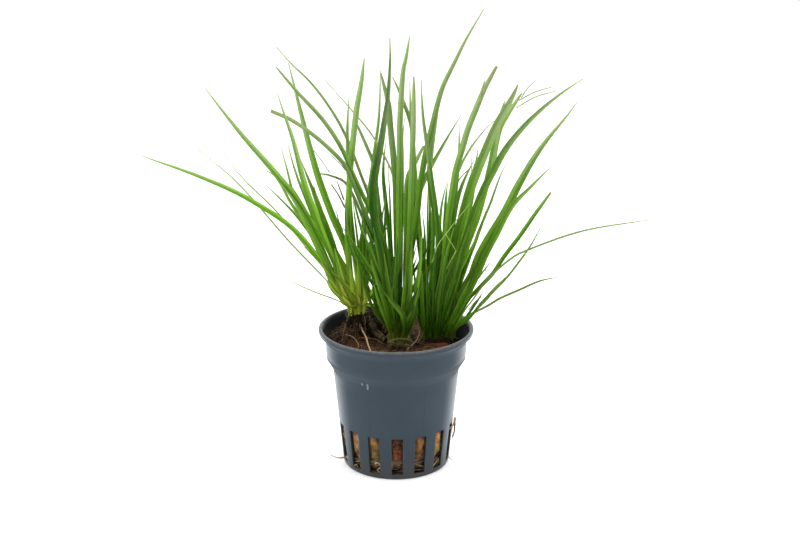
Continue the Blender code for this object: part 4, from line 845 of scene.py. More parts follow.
def leaf_material(name, settings):
    """Satin green leaf: veins along it, a yellow foot when young, a brown tip, a dry grey-olive look, painted
    light that makes it paler high up, and painted shade on one half and low down.
    """
    material, tree, shader = new_material(name)
    along, across = attribute(tree, "along"), attribute(tree, "across")
    tone, youth, dry = (attribute(tree, key) for key in ("tone", "youth", "dry"))
    veins = grain(tree, 5.0, 1.2)
    patch = mottle(tree, Scale=140.0, Stretch=(1.0, 1.0, 0.35), Contrast=1.2)
    height = object_place(tree)[1][2]
    blend = maths(tree, "ADD", tone, scaled(tree, patch["Mask"], 0.24, -0.12))
    colour = mix_colour(tree, blend, settings.deep, settings.bright)
    sheath = times(tree, ramp(tree, height, 55.0 * MM, 80.0 * MM, 0.7, 0.0), youth)
    foot = times(tree, maths(tree, "MAXIMUM", ramp(tree, along, 0.03, 0.34, 1.0, 0.0), sheath), youth)
    colour = mix_colour(tree, foot, colour, settings.base)
    # Painted light: the leaves turn paler and greyer towards their tips, the more the higher they reach
    pale = times(tree, ramp(tree, along, 0.4, 1.0), ramp(tree, height, 80.0 * MM, 125.0 * MM, 0.04, 0.65))
    pale = times(tree, pale, ramp(tree, tone, 0.0, 0.6, 0.25, 1.0))
    colour = mix_colour(tree, pale, colour, LEAF_PAINTED_LIGHT)
    colour = tint(tree, times(tree, veins, 0.5), colour, VEIN_SHADE)
    # Painted shade: one half of each leaf, the side picked by its tone, is darker
    flip = maths(tree, "SIGN", maths(tree, "SINE", times(tree, tone, 37.0)))
    half = ramp(tree, times(tree, across, flip), -0.12, 0.12)
    colour = tint(tree, times(tree, half, 0.8), colour, HALF_SHADE)
    aged = times(tree, patch["Mask"], ramp(tree, height, 90.0 * MM, 130.0 * MM, 0.0, 0.6))
    aged = times(tree, ramp(tree, along, 0.45, 1.0), aged)
    colour = mix_colour(tree, maths(tree, "MAXIMUM", times(tree, dry, 0.8), aged), colour, LEAF_DRY)
    # Painted shade: the leaves darken low down in the plant, less so on a young foot
    low = ramp(tree, height, 52.0 * MM, 115.0 * MM, 0.62, 0.0)
    low = times(tree, low, maths(tree, "SUBTRACT", 1.0, foot))
    colour = tint(tree, times(tree, low, ramp(tree, youth, 0.3, 1.0, 1.0, 0.5)), colour, LOW_SHADE)
    tip = times(tree, ramp(tree, along, 0.93, 1.0), scaled(tree, patch["Mask"], 0.3, 0.35))
    colour = mix_colour(tree, times(tree, tip, ramp(tree, height, 80.0 * MM, 95.0 * MM)), colour, LEAF_TIP)
    feed(tree, shader, {
        "Base Color": colour, "Roughness": scaled(tree, patch["Mask"], 0.12, 0.4), "Specular IOR Level": 0.06,
        "Subsurface Weight": 0.2, "Subsurface Radius": (0.5, 1.0, 0.12), "Subsurface Scale": 0.9 * MM})
    add_bump(tree, shader, veins, 0.35, 0.05 * MM)
    return material


def root_material(name, dark, pale):
    """Root skin: from dark to pale by the root's tone, with lengthwise wrinkles."""
    material, tree, shader = new_material(name)
    patch = mottle(tree, Scale=500.0, Contrast=1.0)
    blend = maths(tree, "ADD", attribute(tree, "tone"), scaled(tree, patch["Mask"], 0.3, -0.15))
    colour = mix_colour(tree, blend, dark, pale)
    colour = tint(tree, times(tree, grain(tree, 3.0, 3.0), 0.4), colour, WRINKLE_SHADE)
    feed(tree, shader, {"Base Color": colour, "Roughness": scaled(tree, patch["Mask"], 0.2, 0.6),
                        "Specular IOR Level": 0.15})
    add_bump(tree, shader, patch["Height"], 0.5, 0.12 * MM)
    return material


def rhizome_material(name):
    """Rhizome skin, from soiled brown to olive by its tone, with dark ring scars and scaly patches."""
    material, tree, shader = new_material(name)
    patch = mottle(tree, Scale=260.0, Contrast=0.7)
    rings = maths(tree, "SINE", times(tree, attribute(tree, "along"), 70.0))
    scar = times(tree, ramp(tree, rings, 0.4, 0.95), 0.8)
    skin = mix_colour(tree, attribute(tree, "tone"), RHIZOME_SOIL, RHIZOME_OLIVE)
    colour = mix_colour(tree, patch["Mask"], skin, RHIZOME_SCALE)
    colour = mix_colour(tree, scar, colour, RHIZOME_SCALE)
    feed(tree, shader, {"Base Color": colour, "Roughness": scaled(tree, patch["Mask"], 0.3, 0.45),
                        "Specular IOR Level": 0.15})
    add_bump(tree, shader, maths(tree, "SUBTRACT", patch["Height"], scar), 0.6, 0.25 * MM)
    return material


# Geometry trees

def read_attribute(tree, name, data_type="FLOAT"):
    return add_node(tree, "GeometryNodeInputNamedAttribute", {"Name": name}, data_type=data_type).outputs[0]


def keep_attribute(tree, geometry, name, value):
    return add_node(tree, "GeometryNodeStoreNamedAttribute",
                    {"Geometry": geometry, "Name": name, "Value": value},
                    data_type="FLOAT", domain="POINT").outputs[0]


def finish_tree(tree, geometry, material, sink):
    """Smooth the faces, realize any instances and set the material."""
    smooth = add_node(tree, "GeometryNodeSetShadeSmooth", {"Geometry": geometry}).outputs[0]
    real = add_node(tree, "GeometryNodeRealizeInstances", {"Geometry": smooth}).outputs[0]
    painted = add_node(tree, "GeometryNodeSetMaterial", {"Geometry": real, "Material": material})
    feed(tree, sink, {"Geometry": painted.outputs[0]})


def build_sweep(name, flat):
    """Sweep a section along every course of a guide. The section is a thin leaf with a trough, or round."""
    tree, source, sink = new_group(
        "GeometryNodeTree", name,
        (("Geometry", "NodeSocketGeometry"), ("Sides", "NodeSocketInt", 12),
         ("Thickness", "NodeSocketFloat", 1.0), ("Channel", "NodeSocketFloat", 0.0),
         ("Material", "NodeSocketMaterial")),
        (("Geometry", "NodeSocketGeometry"),))
    course = add_node(tree, "GeometryNodeMeshToCurve", {"Mesh": source.outputs["Geometry"]}).outputs[0]
    if flat:
        course = add_node(tree, "GeometryNodeSetCurveNormal",
                          {"Curve": course, "Normal": read_attribute(tree, "edge", "FLOAT_VECTOR")},
                          mode="FREE").outputs[0]
    share = add_node(tree, "GeometryNodeSplineParameter").outputs["Factor"]
    course = keep_attribute(tree, course, "along", share)
    circle = add_node(tree, "GeometryNodeCurvePrimitiveCircle",
                      {"Resolution": source.outputs["Sides"], "Radius": 1.0}).outputs[0]
    spot = add_node(tree, "GeometryNodeInputPosition").outputs[0]
    across, height, _ = add_node(tree, "ShaderNodeSeparateXYZ", {0: spot}).outputs
    section = keep_attribute(tree, circle, "across", across)
    lens = times(tree, height, maths(tree, "ABSOLUTE", height)) if flat else height
    raised = times(tree, lens, source.outputs["Thickness"])
    bend = maths(tree, "POWER", maths(tree, "ABSOLUTE", across), TROUGH_POWER)
    trough = times(tree, bend, source.outputs["Channel"])
    moved = add_node(tree, "ShaderNodeCombineXYZ", {0: across, 1: maths(tree, "ADD", raised, trough)})
    section = add_node(tree, "GeometryNodeSetPosition",
                       {"Geometry": section, "Position": moved.outputs[0]}).outputs[0]
    swept = add_node(tree, "GeometryNodeCurveToMesh",
                     {"Curve": course, "Profile Curve": section, "Scale": read_attribute(tree, "half_width"),
                      "Fill Caps": True}).outputs[0]
    finish_tree(tree, swept, source.outputs["Material"], sink)
    return tree


def build_fibre_scatter(name):
    """Lay bent loose fibres on a surface, turned at random about its normal."""
    tree, source, sink = new_group(
        "GeometryNodeTree", name,
        (("Geometry", "NodeSocketGeometry"), ("Density", "NodeSocketFloat", 1.0),
         ("Radius", "NodeSocketFloat", 0.05 * MM), ("Length", "NodeSocketFloat", 2.0 * MM),
         ("Seed", "NodeSocketInt", 3), ("Material", "NodeSocketMaterial")),
        (("Geometry", "NodeSocketGeometry"),))
    points = add_node(tree, "GeometryNodeDistributePointsOnFaces",
                      {"Mesh": source.outputs["Geometry"], "Density": source.outputs["Density"],
                       "Seed": source.outputs["Seed"]})
    half = times(tree, source.outputs["Length"], 0.5)
    bends = {"Start": {0: times(tree, half, -1.0)}, "End": {0: half},
             "Middle": {1: times(tree, half, 0.5), 2: times(tree, half, 0.45)}}
    ends = {key: add_node(tree, "ShaderNodeCombineXYZ", parts).outputs[0] for key, parts in bends.items()}
    arc = add_node(tree, "GeometryNodeCurveQuadraticBezier", {"Resolution": 5, **ends}).outputs[0]
    round_section = add_node(tree, "GeometryNodeCurvePrimitiveCircle",
                             {"Resolution": 3, "Radius": source.outputs["Radius"]}).outputs[0]
    fibre = add_node(tree, "GeometryNodeCurveToMesh",
                     {"Curve": arc, "Profile Curve": round_section, "Fill Caps": True}).outputs[0]
    turn = add_node(tree, "FunctionNodeRandomValue",
                    {"Min": (-0.3, -0.3, 0.0), "Max": (0.3, 0.3, math.tau), "Seed": source.outputs["Seed"]},
                    data_type="FLOAT_VECTOR").outputs[0]
    turned = add_node(tree, "FunctionNodeRotateRotation",
                      {"Rotation": points.outputs["Rotation"],
                       "Rotate By": add_node(tree, "FunctionNodeEulerToRotation", {0: turn}).outputs[0]},
                      rotation_space="LOCAL").outputs[0]
    size = add_node(tree, "FunctionNodeRandomValue", {2: 0.35, 3: 1.3, "Seed": source.outputs["Seed"]},
                    data_type="FLOAT").outputs[1]
    laid = add_node(tree, "GeometryNodeInstanceOnPoints",
                    {"Points": points.outputs["Points"], "Instance": fibre, "Rotation": turned,
                     "Scale": size}).outputs[0]
    finish_tree(tree, laid, source.outputs["Material"], sink)
    return tree


def run_tree(guide, tree, values, name):
    """Evaluate a geometry tree on a guide object and keep its result as a plain mesh object."""
    modifier = guide.modifiers.new("Grow", "NODES")
    modifier.node_group = tree
    sockets = {item.name: item.identifier for item in tree.interface.items_tree if item.in_out == "INPUT"}
    for key, value in values.items():
        modifier[sockets[key]] = value
    guide.update_tag()
    depsgraph = bpy.context.evaluated_depsgraph_get()
    mesh = bpy.data.meshes.new_from_object(guide.evaluated_get(depsgraph), preserve_all_data_layers=True,
                                           depsgraph=depsgraph)
    guide.modifiers.remove(modifier)
    mesh.name = name
    return add_object(name, mesh)


# Meshes

def add_object(name, mesh):
    piece = bpy.data.objects.new(name, mesh)
    bpy.context.scene.collection.objects.link(piece)
    return piece


def stand_for(piece, slot, *nodes):
    """The piece rides on the body and stands for the named nodes, which it hides. The slot is not used."""
    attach(piece, BODY)
    if nodes:
        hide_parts(*nodes)


def turn_profile(profile, columns, start):
    """Turn a profile of (radius, height) points about Z; the ends on the axis close the body."""
    mesh_data = bmesh.new()
    rings = []
    for radius, height in profile:
        angles = [start + math.tau * column / columns for column in range(columns if radius else 1)]
        ring = [Vector((radius * math.cos(angle), radius * math.sin(angle), height)) for angle in angles]
        rings.append([mesh_data.verts.new(place * MM) for place in ring])
    for low, high in zip(rings, rings[1:]):
        for column in range(columns):
            after = column + 1
            corners = (low[column % len(low)], low[after % len(low)],
                       high[after % len(high)], high[column % len(high)])
            mesh_data.faces.new(tuple(dict.fromkeys(corners)))
    return mesh_data


def finish_mesh(name, mesh_data, material, smooth_angle=40.0):
    mesh = bpy.data.meshes.new(name)
    mesh_data.to_mesh(mesh)
    mesh_data.free()
    mesh.materials.append(material)
    mesh.shade_smooth()
    mesh.set_sharp_from_angle(angle=math.radians(smooth_angle))
    return add_object(name, mesh)


def arc(centre, radius, first, last, steps):
    """Points (radius, height) of a rounded edge, by its angles in degrees."""
    points = []
    for step in range(steps + 1):
        angle = math.radians(first + (last - first) * step / steps)
        points.append((centre[0] + radius * math.cos(angle), centre[1] + radius * math.sin(angle)))
    return points


def spread(first, last, steps):
    """Even steps between two (radius, height) points, without both ends."""
    return [(first[0] + (last[0] - first[0]) * step / steps, first[1] + (last[1] - first[1]) * step / steps)
            for step in range(1, steps)]


def set_floats(mesh, name, values):
    layer = mesh.attributes.new(name, "FLOAT", "POINT")
    layer.data.foreach_set("value", values)


# Pot

def wall_radius(height):
    rise = (height - BASE_EDGE) / (SHOULDER_HEIGHT - BASE_EDGE)
    return BASE_RADIUS + (SHOULDER_RADIUS - BASE_RADIUS) * rise


def bore_radius(height):
    if height < SHOULDER_HEIGHT:
        return wall_radius(height) - WALL
    rise = min((height - SHOULDER_HEIGHT) / (COLLAR_FOOT - SHOULDER_HEIGHT), 1.0)
    return SHOULDER_RADIUS + (COLLAR_RADIUS - SHOULDER_RADIUS) * rise - WALL


def pot_outline():
    """The pot's wall as (radius, height): out from the base's centre, up, over the lip and down inside."""
    base = [(0.0, 0.0), (6.0, 0.0), (6.2, 0.12), (6.7, 0.12), (6.9, 0.0)]
    base += arc((BASE_RADIUS - BASE_EDGE, BASE_EDGE), BASE_EDGE, -90, 0, 4)
    sill = (wall_radius(SLOT_SILL), SLOT_SILL)
    head = (wall_radius(SLOT_HEAD), SLOT_HEAD)
    shoulder = (SHOULDER_RADIUS, SHOULDER_HEIGHT - 0.5)
    wall = [sill] + spread(sill, head, 6) + [head] + spread(head, shoulder, 6) + [shoulder]
    collar_start = COLLAR_RADIUS - COLLAR_TAPER
    collar = [(SHOULDER_RADIUS + 0.2, SHOULDER_HEIGHT + 0.1), (collar_start - 0.5, COLLAR_FOOT - 0.8),
              (collar_start, COLLAR_FOOT), (COLLAR_RADIUS - 0.15, COLLAR_FOOT + 2.4),
              (COLLAR_RADIUS, COLLAR_HEAD)]
    rim_foot = POT_HEIGHT - RIM_DEPTH
    for step in range(1, 8):
        share = step / 8
        collar.append((COLLAR_RADIUS + (RIM_RADIUS - COLLAR_RADIUS) * share ** 2,
                       COLLAR_HEAD + (rim_foot - COLLAR_HEAD) * share))
    lip = [(RIM_RADIUS - 0.12, rim_foot - 0.05), (RIM_RADIUS, rim_foot + 0.3), (RIM_RADIUS, POT_HEIGHT - 0.5)]
    lip += arc((RIM_RADIUS - 0.45, POT_HEIGHT - 0.45), 0.45, 20, 90, 4)
    lip += arc((RIM_RADIUS - LIP_EDGE, POT_HEIGHT - 0.35), 0.35, 90, 170, 4)
    inner = [(RIM_RADIUS - LIP_EDGE - 0.5, POT_HEIGHT - 2.0), (bore_radius(COLLAR_HEAD), COLLAR_HEAD),
             (bore_radius(COLLAR_FOOT), COLLAR_FOOT), (bore_radius(SHOULDER_HEIGHT), SHOULDER_HEIGHT)]
    low = (bore_radius(SLOT_SILL), SLOT_SILL)
    high = (bore_radius(SLOT_HEAD), SLOT_HEAD)
    inner += spread(inner[-1], high, 5) + [high] + spread(high, low, 6) + [low]
    return base + wall + collar + lip + inner + [(bore_radius(FLOOR) - 0.3, FLOOR), (0.0, FLOOR)]


def slot_offset(x, y):
    """The signed angle from the middle of the nearest slot, and that slot's number."""
    angle = (math.atan2(y, x) - SLOT_START) % math.tau
    index = round(angle / SLOT_PITCH) % SLOT_COUNT
    return (angle - index * SLOT_PITCH + math.pi) % math.tau - math.pi, index


def cut_slots(mesh_data):
    """Take out the wall's faces in each slot and bridge the outer opening to the inner one."""
    openings = [[] for _ in range(SLOT_COUNT)]
    for face in mesh_data.faces:
        centre = face.calc_center_median()
        if SLOT_SILL * MM < centre.z < SLOT_HEAD * MM:
            offset, index = slot_offset(centre.x, centre.y)
            if abs(offset) < SLOT_PITCH / 4.0:
                openings[index].append(face)
    for faces in openings:
        inside = set(faces)
        edges = dict.fromkeys(edge for face in faces for edge in face.edges
                              if any(other not in inside for other in edge.link_faces))
        bmesh.ops.delete(mesh_data, geom=faces, context="FACES_ONLY")
        spare = [edge for edge in mesh_data.edges if not edge.link_faces and edge not in edges]
        bmesh.ops.delete(mesh_data, geom=spare, context="EDGES")
        bmesh.ops.bridge_loops(mesh_data, edges=[edge for edge in edges if edge.is_valid])


def make_pot(settings, material):
    """The slotted pot, with its inner face marked and the edges of its slots rounded."""
    mesh_data = turn_profile(pot_outline(), SLOT_COUNT * settings.columns, SLOT_START)
    cut_slots(mesh_data)
    bmesh.ops.recalc_face_normals(mesh_data, faces=mesh_data.faces)
    pot = finish_mesh("net_pot_finished", mesh_data, material)
    inside = []
    for corner in pot.data.vertices:
        reach = math.hypot(corner.co.x, corner.co.y) / MM
        height = corner.co.z / MM
        limit = bore_radius(height) + 0.1 + max(0.0, height - COLLAR_HEAD) * 0.7
        inside.append(1.0 if FLOOR - 0.1 < height < POT_HEIGHT - 0.6 and reach < limit else 0.0)
    set_floats(pot.data, "inside", inside)
    bevel = pot.modifiers.new("Soft Edges", "BEVEL")
    bevel.width = settings.edge
    bevel.segments = 2
    bevel.limit_method = "ANGLE"
    bevel.angle_limit = math.radians(50)
    stand_for(pot, "pot_plastic", "net_pot")


# Filling

def cloud(spot, scale, depth=3):
    """Smooth noise about 0 at a place in mm, with blobs of about the scale."""
    return noise.fractal(Vector(spot) / scale, 0.7, 2.1, depth, noise_basis="PERLIN_ORIGINAL")


def plug_height(x, y):
    """Height of the plug's uneven top, as the solid has it, with finer lumps."""
    broad = math.sin(0.83 * x + 0.4) * math.sin(0.71 * y - 0.9)
    height = PLUG_TOP - 0.8 * abs(0.5 * broad + 0.3 * math.sin(1.7 * x - 1.3 * y))
    lump = max(0.0, 1.0 - (math.hypot(x - LUMP[0], y - LUMP[1]) / LUMP[2]) ** 2)
    pit = max(0.0, 1.0 - (math.hypot(x - PIT[0], y - PIT[1]) / PIT[2]) ** 2)
    ragged = 0.7 * cloud((x, y, 1.0), 2.6) + 0.3 * cloud((x, y, 7.0), 0.9)
    return height + LUMP[3] * lump - PIT[3] * pit + ragged * (0.6 + lump)


def paint_stains_and_shadow(mesh, base):
    """Blend the plug's colour towards each stain, and towards the painted shadow, near its place."""
    layer = mesh.color_attributes.new("wool_mark", "FLOAT_COLOR", "POINT")
    for corner, colour in zip(mesh.vertices, layer.data):
        spot = corner.co / MM
        wander = Vector((cloud(spot, 2.5), cloud(spot + Vector((9.0, 0.0, 0.0)), 2.5),
                         cloud(spot + Vector((0.0, 9.0, 0.0)), 2.5))) * 1.6
        total, mixed = BASE_WEIGHT, Vector(base[:3]) * BASE_WEIGHT
        for wool_mark in STAINS_AND_SHADOW:
            distance = (spot + wander - Vector(wool_mark.place)).length
            weight = math.exp(-2.0 * (distance / wool_mark.reach) ** 2) * MARK_WEIGHT
            total += weight
            mixed += Vector(wool_mark.colour) * weight
        mixed /= total
        colour.color = (mixed.x, mixed.y, mixed.z, 1.0)


def plug_profile():
    """The plug's half section as (radius, height), with fine steps where it shows in the slots and on top."""
    levels = [PLUG_FOOT + 0.4 * step for step in range(24)]
    levels += [levels[-1] + (PLUG_TOP - 1.6 - levels[-1]) * (step + 1) / 22 for step in range(22)]
    side = [(bore_radius(level) - 0.45, level) for level in levels]
    reach = bore_radius(PLUG_TOP) - 0.6
    top = [(reach * (1.0 - step / 44), PLUG_TOP) for step in range(44)]
    return [(0.0, PLUG_FOOT), (side[0][0] - 0.8, PLUG_FOOT)] + side + top + [(0.0, PLUG_TOP)]


def roughen_plug(spot):
    """Move a point of the plain plug: an uneven top, swellings in the slots and a ragged cut side."""
    if spot.z > PLUG_TOP - 0.1:
        spot.z = plug_height(min(spot.x, PLUG_FLAT), spot.y)
    else:
        offset, _ = slot_offset(spot.x, spot.y)
        swell = max(0.0, 1.0 - (offset / (SLOT_PITCH / 4.0)) ** 2) * (spot.z < SLOT_HEAD)
        sink = 0.45 * cloud(spot, 2.2) + 0.25 * cloud(spot, 0.8)
        outwards = Vector((spot.x, spot.y, 0.0)).normalized()
        spot += outwards * (swell * 1.05 - 0.25 + sink * (1.0 if swell else 0.4))
    if spot.x > PLUG_FLAT:
        spot.x = PLUG_FLAT + 0.2 * min(cloud((0.0, spot.y, spot.z), 1.5), 0.0)
    return spot


def scatter_fibres(plug, settings, material):
    """Loose fibres on the plug's top and in the slots."""
    ground = bmesh.new()
    ground.from_mesh(plug.data)
    hidden = [face for face in ground.faces
              if SLOT_HEAD * MM < face.calc_center_median().z < (PLUG_TOP - 4.0) * MM or face.normal.z < -0.5]
    bmesh.ops.delete(ground, geom=hidden, context="FACES")
    area = sum(face.calc_area() for face in ground.faces)
    mesh = bpy.data.meshes.new("fibre_ground")
    ground.to_mesh(mesh)
    ground.free()
    guide = add_object("fibre_ground", mesh)
    tree = shared(bpy.data.node_groups, "Loose Fibres", build_fibre_scatter)
    loose = run_tree(guide, tree, {
        "Density": settings.fibre_count / area, "Radius": settings.fibre_radius, "Length": FIBRE_LENGTH * MM,
        "Seed": FIBRE_SEED, "Material": material}, "loose_wool_fibres")
    bpy.data.objects.remove(guide)
    set_floats(loose.data, "tone", [FIBRE_TONE] * len(loose.data.vertices))
    stand_for(loose, "mineral_wool")


def make_plug(settings, material, fibres):
    """The mineral-wool plug with its stains, its painted shadow and its loose fibres."""
    mesh_data = turn_profile(plug_profile(), PLUG_COLUMNS, SLOT_START)
    for corner in mesh_data.verts:
        corner.co = roughen_plug(corner.co / MM) * MM
    plug = finish_mesh("mineral_wool_finished", mesh_data, material, 180.0)
    paint_stains_and_shadow(plug.data, settings.colour)
    stand_for(plug, "mineral_wool", "mineral_wool_plug")
    scatter_fibres(plug, settings, fibres)


# Courses

def clamp(value, low, high):
    return min(max(value, low), high)


def lengths_along(points):
    """The length from the first point to each point."""
    marks = [0.0]
    for before, after in zip(points, points[1:]):
        marks.append(marks[-1] + (after - before).length)
    return marks


def smooth_path(points, steps):
    """Even steps along a smooth curve through points, each with its direction."""
    marks = lengths_along(points)
    slopes = []
    for index in range(len(points)):
        low, high = max(index - 1, 0), min(index + 1, len(points) - 1)
        slopes.append((points[high] - points[low]) / (marks[high] - marks[low]))
    path = []
    for step in range(steps + 1):
        mark = marks[-1] * step / steps
        span = max(index for index in range(len(points) - 1) if marks[index] <= mark)
        length = marks[span + 1] - marks[span]
        t = (mark - marks[span]) / length
        start, end = points[span], points[span + 1]
        pull, push = slopes[span] * length, slopes[span + 1] * length
        place = (start * (2 * t ** 3 - 3 * t ** 2 + 1) + pull * (t ** 3 - 2 * t ** 2 + t)
                 + end * (3 * t ** 2 - 2 * t ** 3) + push * (t ** 3 - t ** 2))
        heading = (start * (6 * t ** 2 - 6 * t) + pull * (3 * t ** 2 - 4 * t + 1)
                   + end * (6 * t - 6 * t ** 2) + push * (3 * t ** 2 - 2 * t)).normalized()
        path.append((place, heading))
    return path


def to_depth(across, up, depth):
    """Move a point of the upright sheet along its line of sight to a depth."""
    share = (depth - EYE.y) / -EYE.y
    return Vector((EYE.x + (across - EYE.x) * share, depth, EYE.z + (up - EYE.z) * share))


def blade_points(crown, fan, blade):
    """The blade's course in space, from its foot in the crown to its tip."""
    root = Vector((blade.root, fan.root_depth, crown.top + LEAF_GAP))
    share = (root.y - EYE.y) / -EYE.y
    sheet = [Vector(((root.x - EYE.x) / share + EYE.x, (root.z - EYE.z) / share + EYE.z))]
    sheet += [Vector(point) for point in blade.course]
    marks = lengths_along(sheet)
    points = [root]
    for spot, mark in zip(sheet[1:], marks[1:]):
        depth = fan.root_depth + (fan.tip_depth - fan.root_depth) * (mark / marks[-1]) ** DEPTH_POWER
        points.append(to_depth(spot.x, spot.y, depth))
    centre = Vector((crown.centre.x, crown.centre.y, root.z))
    points[0] = root + (centre - root) * crown.gather
    return [points[0] - Vector((0.0, 0.0, crown.sink))] + points


def blade_width(blade, share):
    """Half the blade's width at a share of its length: a sheathing foot, a full middle and a drawn tip."""
    foot = 0.5 + 0.5 * min(share / FOOT_END, 1.0)
    end = blade.blunt or POINT_WIDTH
    power = BLUNT_POWER if blade.blunt else clamp(TIP_POWER - 1.3 * (blade.width - 1.3), 1.5, TIP_POWER)
    drawn = max(0.0, (share - TIP_START) / (1.0 - TIP_START)) ** power
    half = 0.5 * blade.width * foot * (end + (1.0 - end) * (1.0 - drawn))
    return max(WIDTH_GAIN * half, LEAST_WIDTH)


class Guide:
    """Courses gathered into one mesh of loose edges, with the values that a sweep reads."""

    def __init__(self):
        self.places, self.edges = [], []
        self.values = {name: [] for name in ("half_width", "tone", "youth", "dry")}
        self.sides = []

    def add_course(self, path, half_widths, sides=None, **looks):
        """Add a path's steps with their half widths, the way its flat side turns, and its looks."""
        start = len(self.places)
        for step, (place, _) in enumerate(path):
            self.places.append(place * MM)
            self.values["half_width"].append(half_widths[step] * MM)
            self.sides += list(sides[step]) if sides else [1.0, 0.0, 0.0]
            if step:
                self.edges.append((start + step - 1, start + step))
        for name in ("tone", "youth", "dry"):
            self.values[name] += [looks.get(name, 0.0)] * len(path)

    def add_blade(self, crown, points, blade, steps):
        """Add a leaf that shows its flat side to the eye at its foot and turns away from it to its tip."""
        path = smooth_path(points, steps)
        sides, widths = [], []
        for step, (place, heading) in enumerate(path):
            share = step / steps
            sight = (place - EYE).normalized()
            across = heading.cross(sight).normalized()
            face = across.cross(heading).normalized()
            angle = math.radians(blade.turn) * share
            sides.append(across * math.cos(angle) + face * math.sin(angle))
            widths.append(blade_width(blade, share))
        self.add_course(path, widths, sides, tone=blade.tone + crown.light, youth=crown.youth, dry=blade.dry)

    def grow(self, name, tree, values):
        """Sweep the courses into a piece."""
        mesh = bpy.data.meshes.new(name + "_course")
        mesh.from_pydata(self.places, self.edges, [])
        for key, numbers in self.values.items():
            set_floats(mesh, key, numbers)
        layer = mesh.attributes.new("edge", "FLOAT_VECTOR", "POINT")
        layer.data.foreach_set("vector", self.sides)
        guide = add_object(name + "_course", mesh)
        piece = run_tree(guide, tree, values, name)
        bpy.data.objects.remove(guide)
        return piece


def round_values(sides, material):
    return {"Sides": sides, "Thickness": 1.0, "Channel": 0.0, "Material": material}


def grow_strands(name, roots, tree, material, steps=24, sides=7, taper=0.45):
    """Round strands along courses, each thinner towards its end and a little knotted."""
    guide = Guide()
    for number, root in enumerate(roots):
        path = smooth_path([Vector(point) for point in root.course], steps)
        widths = []
        for step, (place, _) in enumerate(path):
            knots = 1.0 + 0.18 * cloud(place, 0.9 + 0.1 * number, 2)
            widths.append(root.radius * (1.0 - taper * (step / steps) ** 2) * knots)
        guide.add_course(path, widths, tone=root.tone)
    return guide.grow(name, tree, round_values(sides, material))


def root_tangle(count, seed):
    """Courses of the roots that wind round the pot's foot under the plug."""
    chance = random.Random(seed)
    low, high = ROOT_MAT_FOOT + 0.3, ROOT_MAT_TOP - 1.4
    roots = []
    for _ in range(count):
        angle = chance.uniform(0.0, math.tau)
        height = chance.uniform(ROOT_MAT_FOOT + 0.4, ROOT_MAT_TOP - 2.6)
        climb = chance.uniform(-0.7, 0.7)
        inward = chance.uniform(0.35, 2.2)
        turn = chance.choice((-1.0, 1.0)) * chance.uniform(0.05, 0.13)
        course = []
        for _ in range(chance.randint(5, 9)):
            height = clamp(height + climb + chance.uniform(-0.5, 0.5), low, high)
            inward = clamp(inward + chance.uniform(-0.5, 0.5), 0.3, 3.2)
            angle += turn + chance.uniform(-0.03, 0.03)
            reach = bore_radius(height) - inward
            course.append((reach * math.cos(angle), reach * math.sin(angle), height))
        tone = chance.choice((0.05, 0.15, 0.25, 0.4, 0.7))
        roots.append(Root(chance.uniform(0.1, 0.26), tone, course))
    return roots


def crown_roots(count, seed):
    """Courses of the fine roots that leave each crown's foot and dive into the plug."""
    chance = random.Random(seed)
    roots = []
    for crown in CROWNS.values():
        for _ in range(round(count * crown.root_share)):
            angle = chance.uniform(-2.5, 0.6)
            outward = Vector((math.cos(angle), math.sin(angle)))
            aside = Vector((-outward.y, outward.x)) * chance.uniform(-2.5, 2.5)
            share = chance.uniform(0.7, 1.0)
            start = crown.centre + outward * crown.half_size * share
            end = start + outward * chance.uniform(0.8, 4.2) + aside
            if end.length > ROOT_REACH:
                end *= ROOT_REACH / end.length
            top = chance.uniform(crown.foot - 1.0, crown.top - 1.0)
            bend = (start + end) / 2.0 - aside * 0.3
            roots.append(Root(chance.uniform(0.07, 0.18), chance.choice((0.0, 0.0, 0.0, 0.08, 0.35)), (
                (*start, top), (*bend, top + chance.uniform(-1.0, 0.8)), (*end, PLUG_TOP - 0.8))))
    return roots


def shake(chance, *spans):
    """A random step, with a span for each axis."""
    return Vector([chance.uniform(*span) for span in spans])


def litter(count, seed):
    """Courses of the dark dead roots and scraps between the left and the middle crown."""
    chance = random.Random(seed)
    roots = []
    for _ in range(count):
        along = chance.random()
        place = Vector((-12.5 + 9.5 * along, 4.5 - 6.0 * along, PLUG_TOP + 7.0 * (1.0 - along)))
        course = [place + shake(chance, (-1.5, 1.5), (-2.5, 2.5), (-3.5, 3.0))]
        for _ in range(3):
            course.append(course[-1] + shake(chance, (-1.6, 1.6), (-1.0, 1.0), (-1.5, 1.9)))
        roots.append(Root(chance.uniform(0.12, 0.42), chance.choice((0.0, 0.0, 0.0, 0.05, 0.2)), course))
    return roots


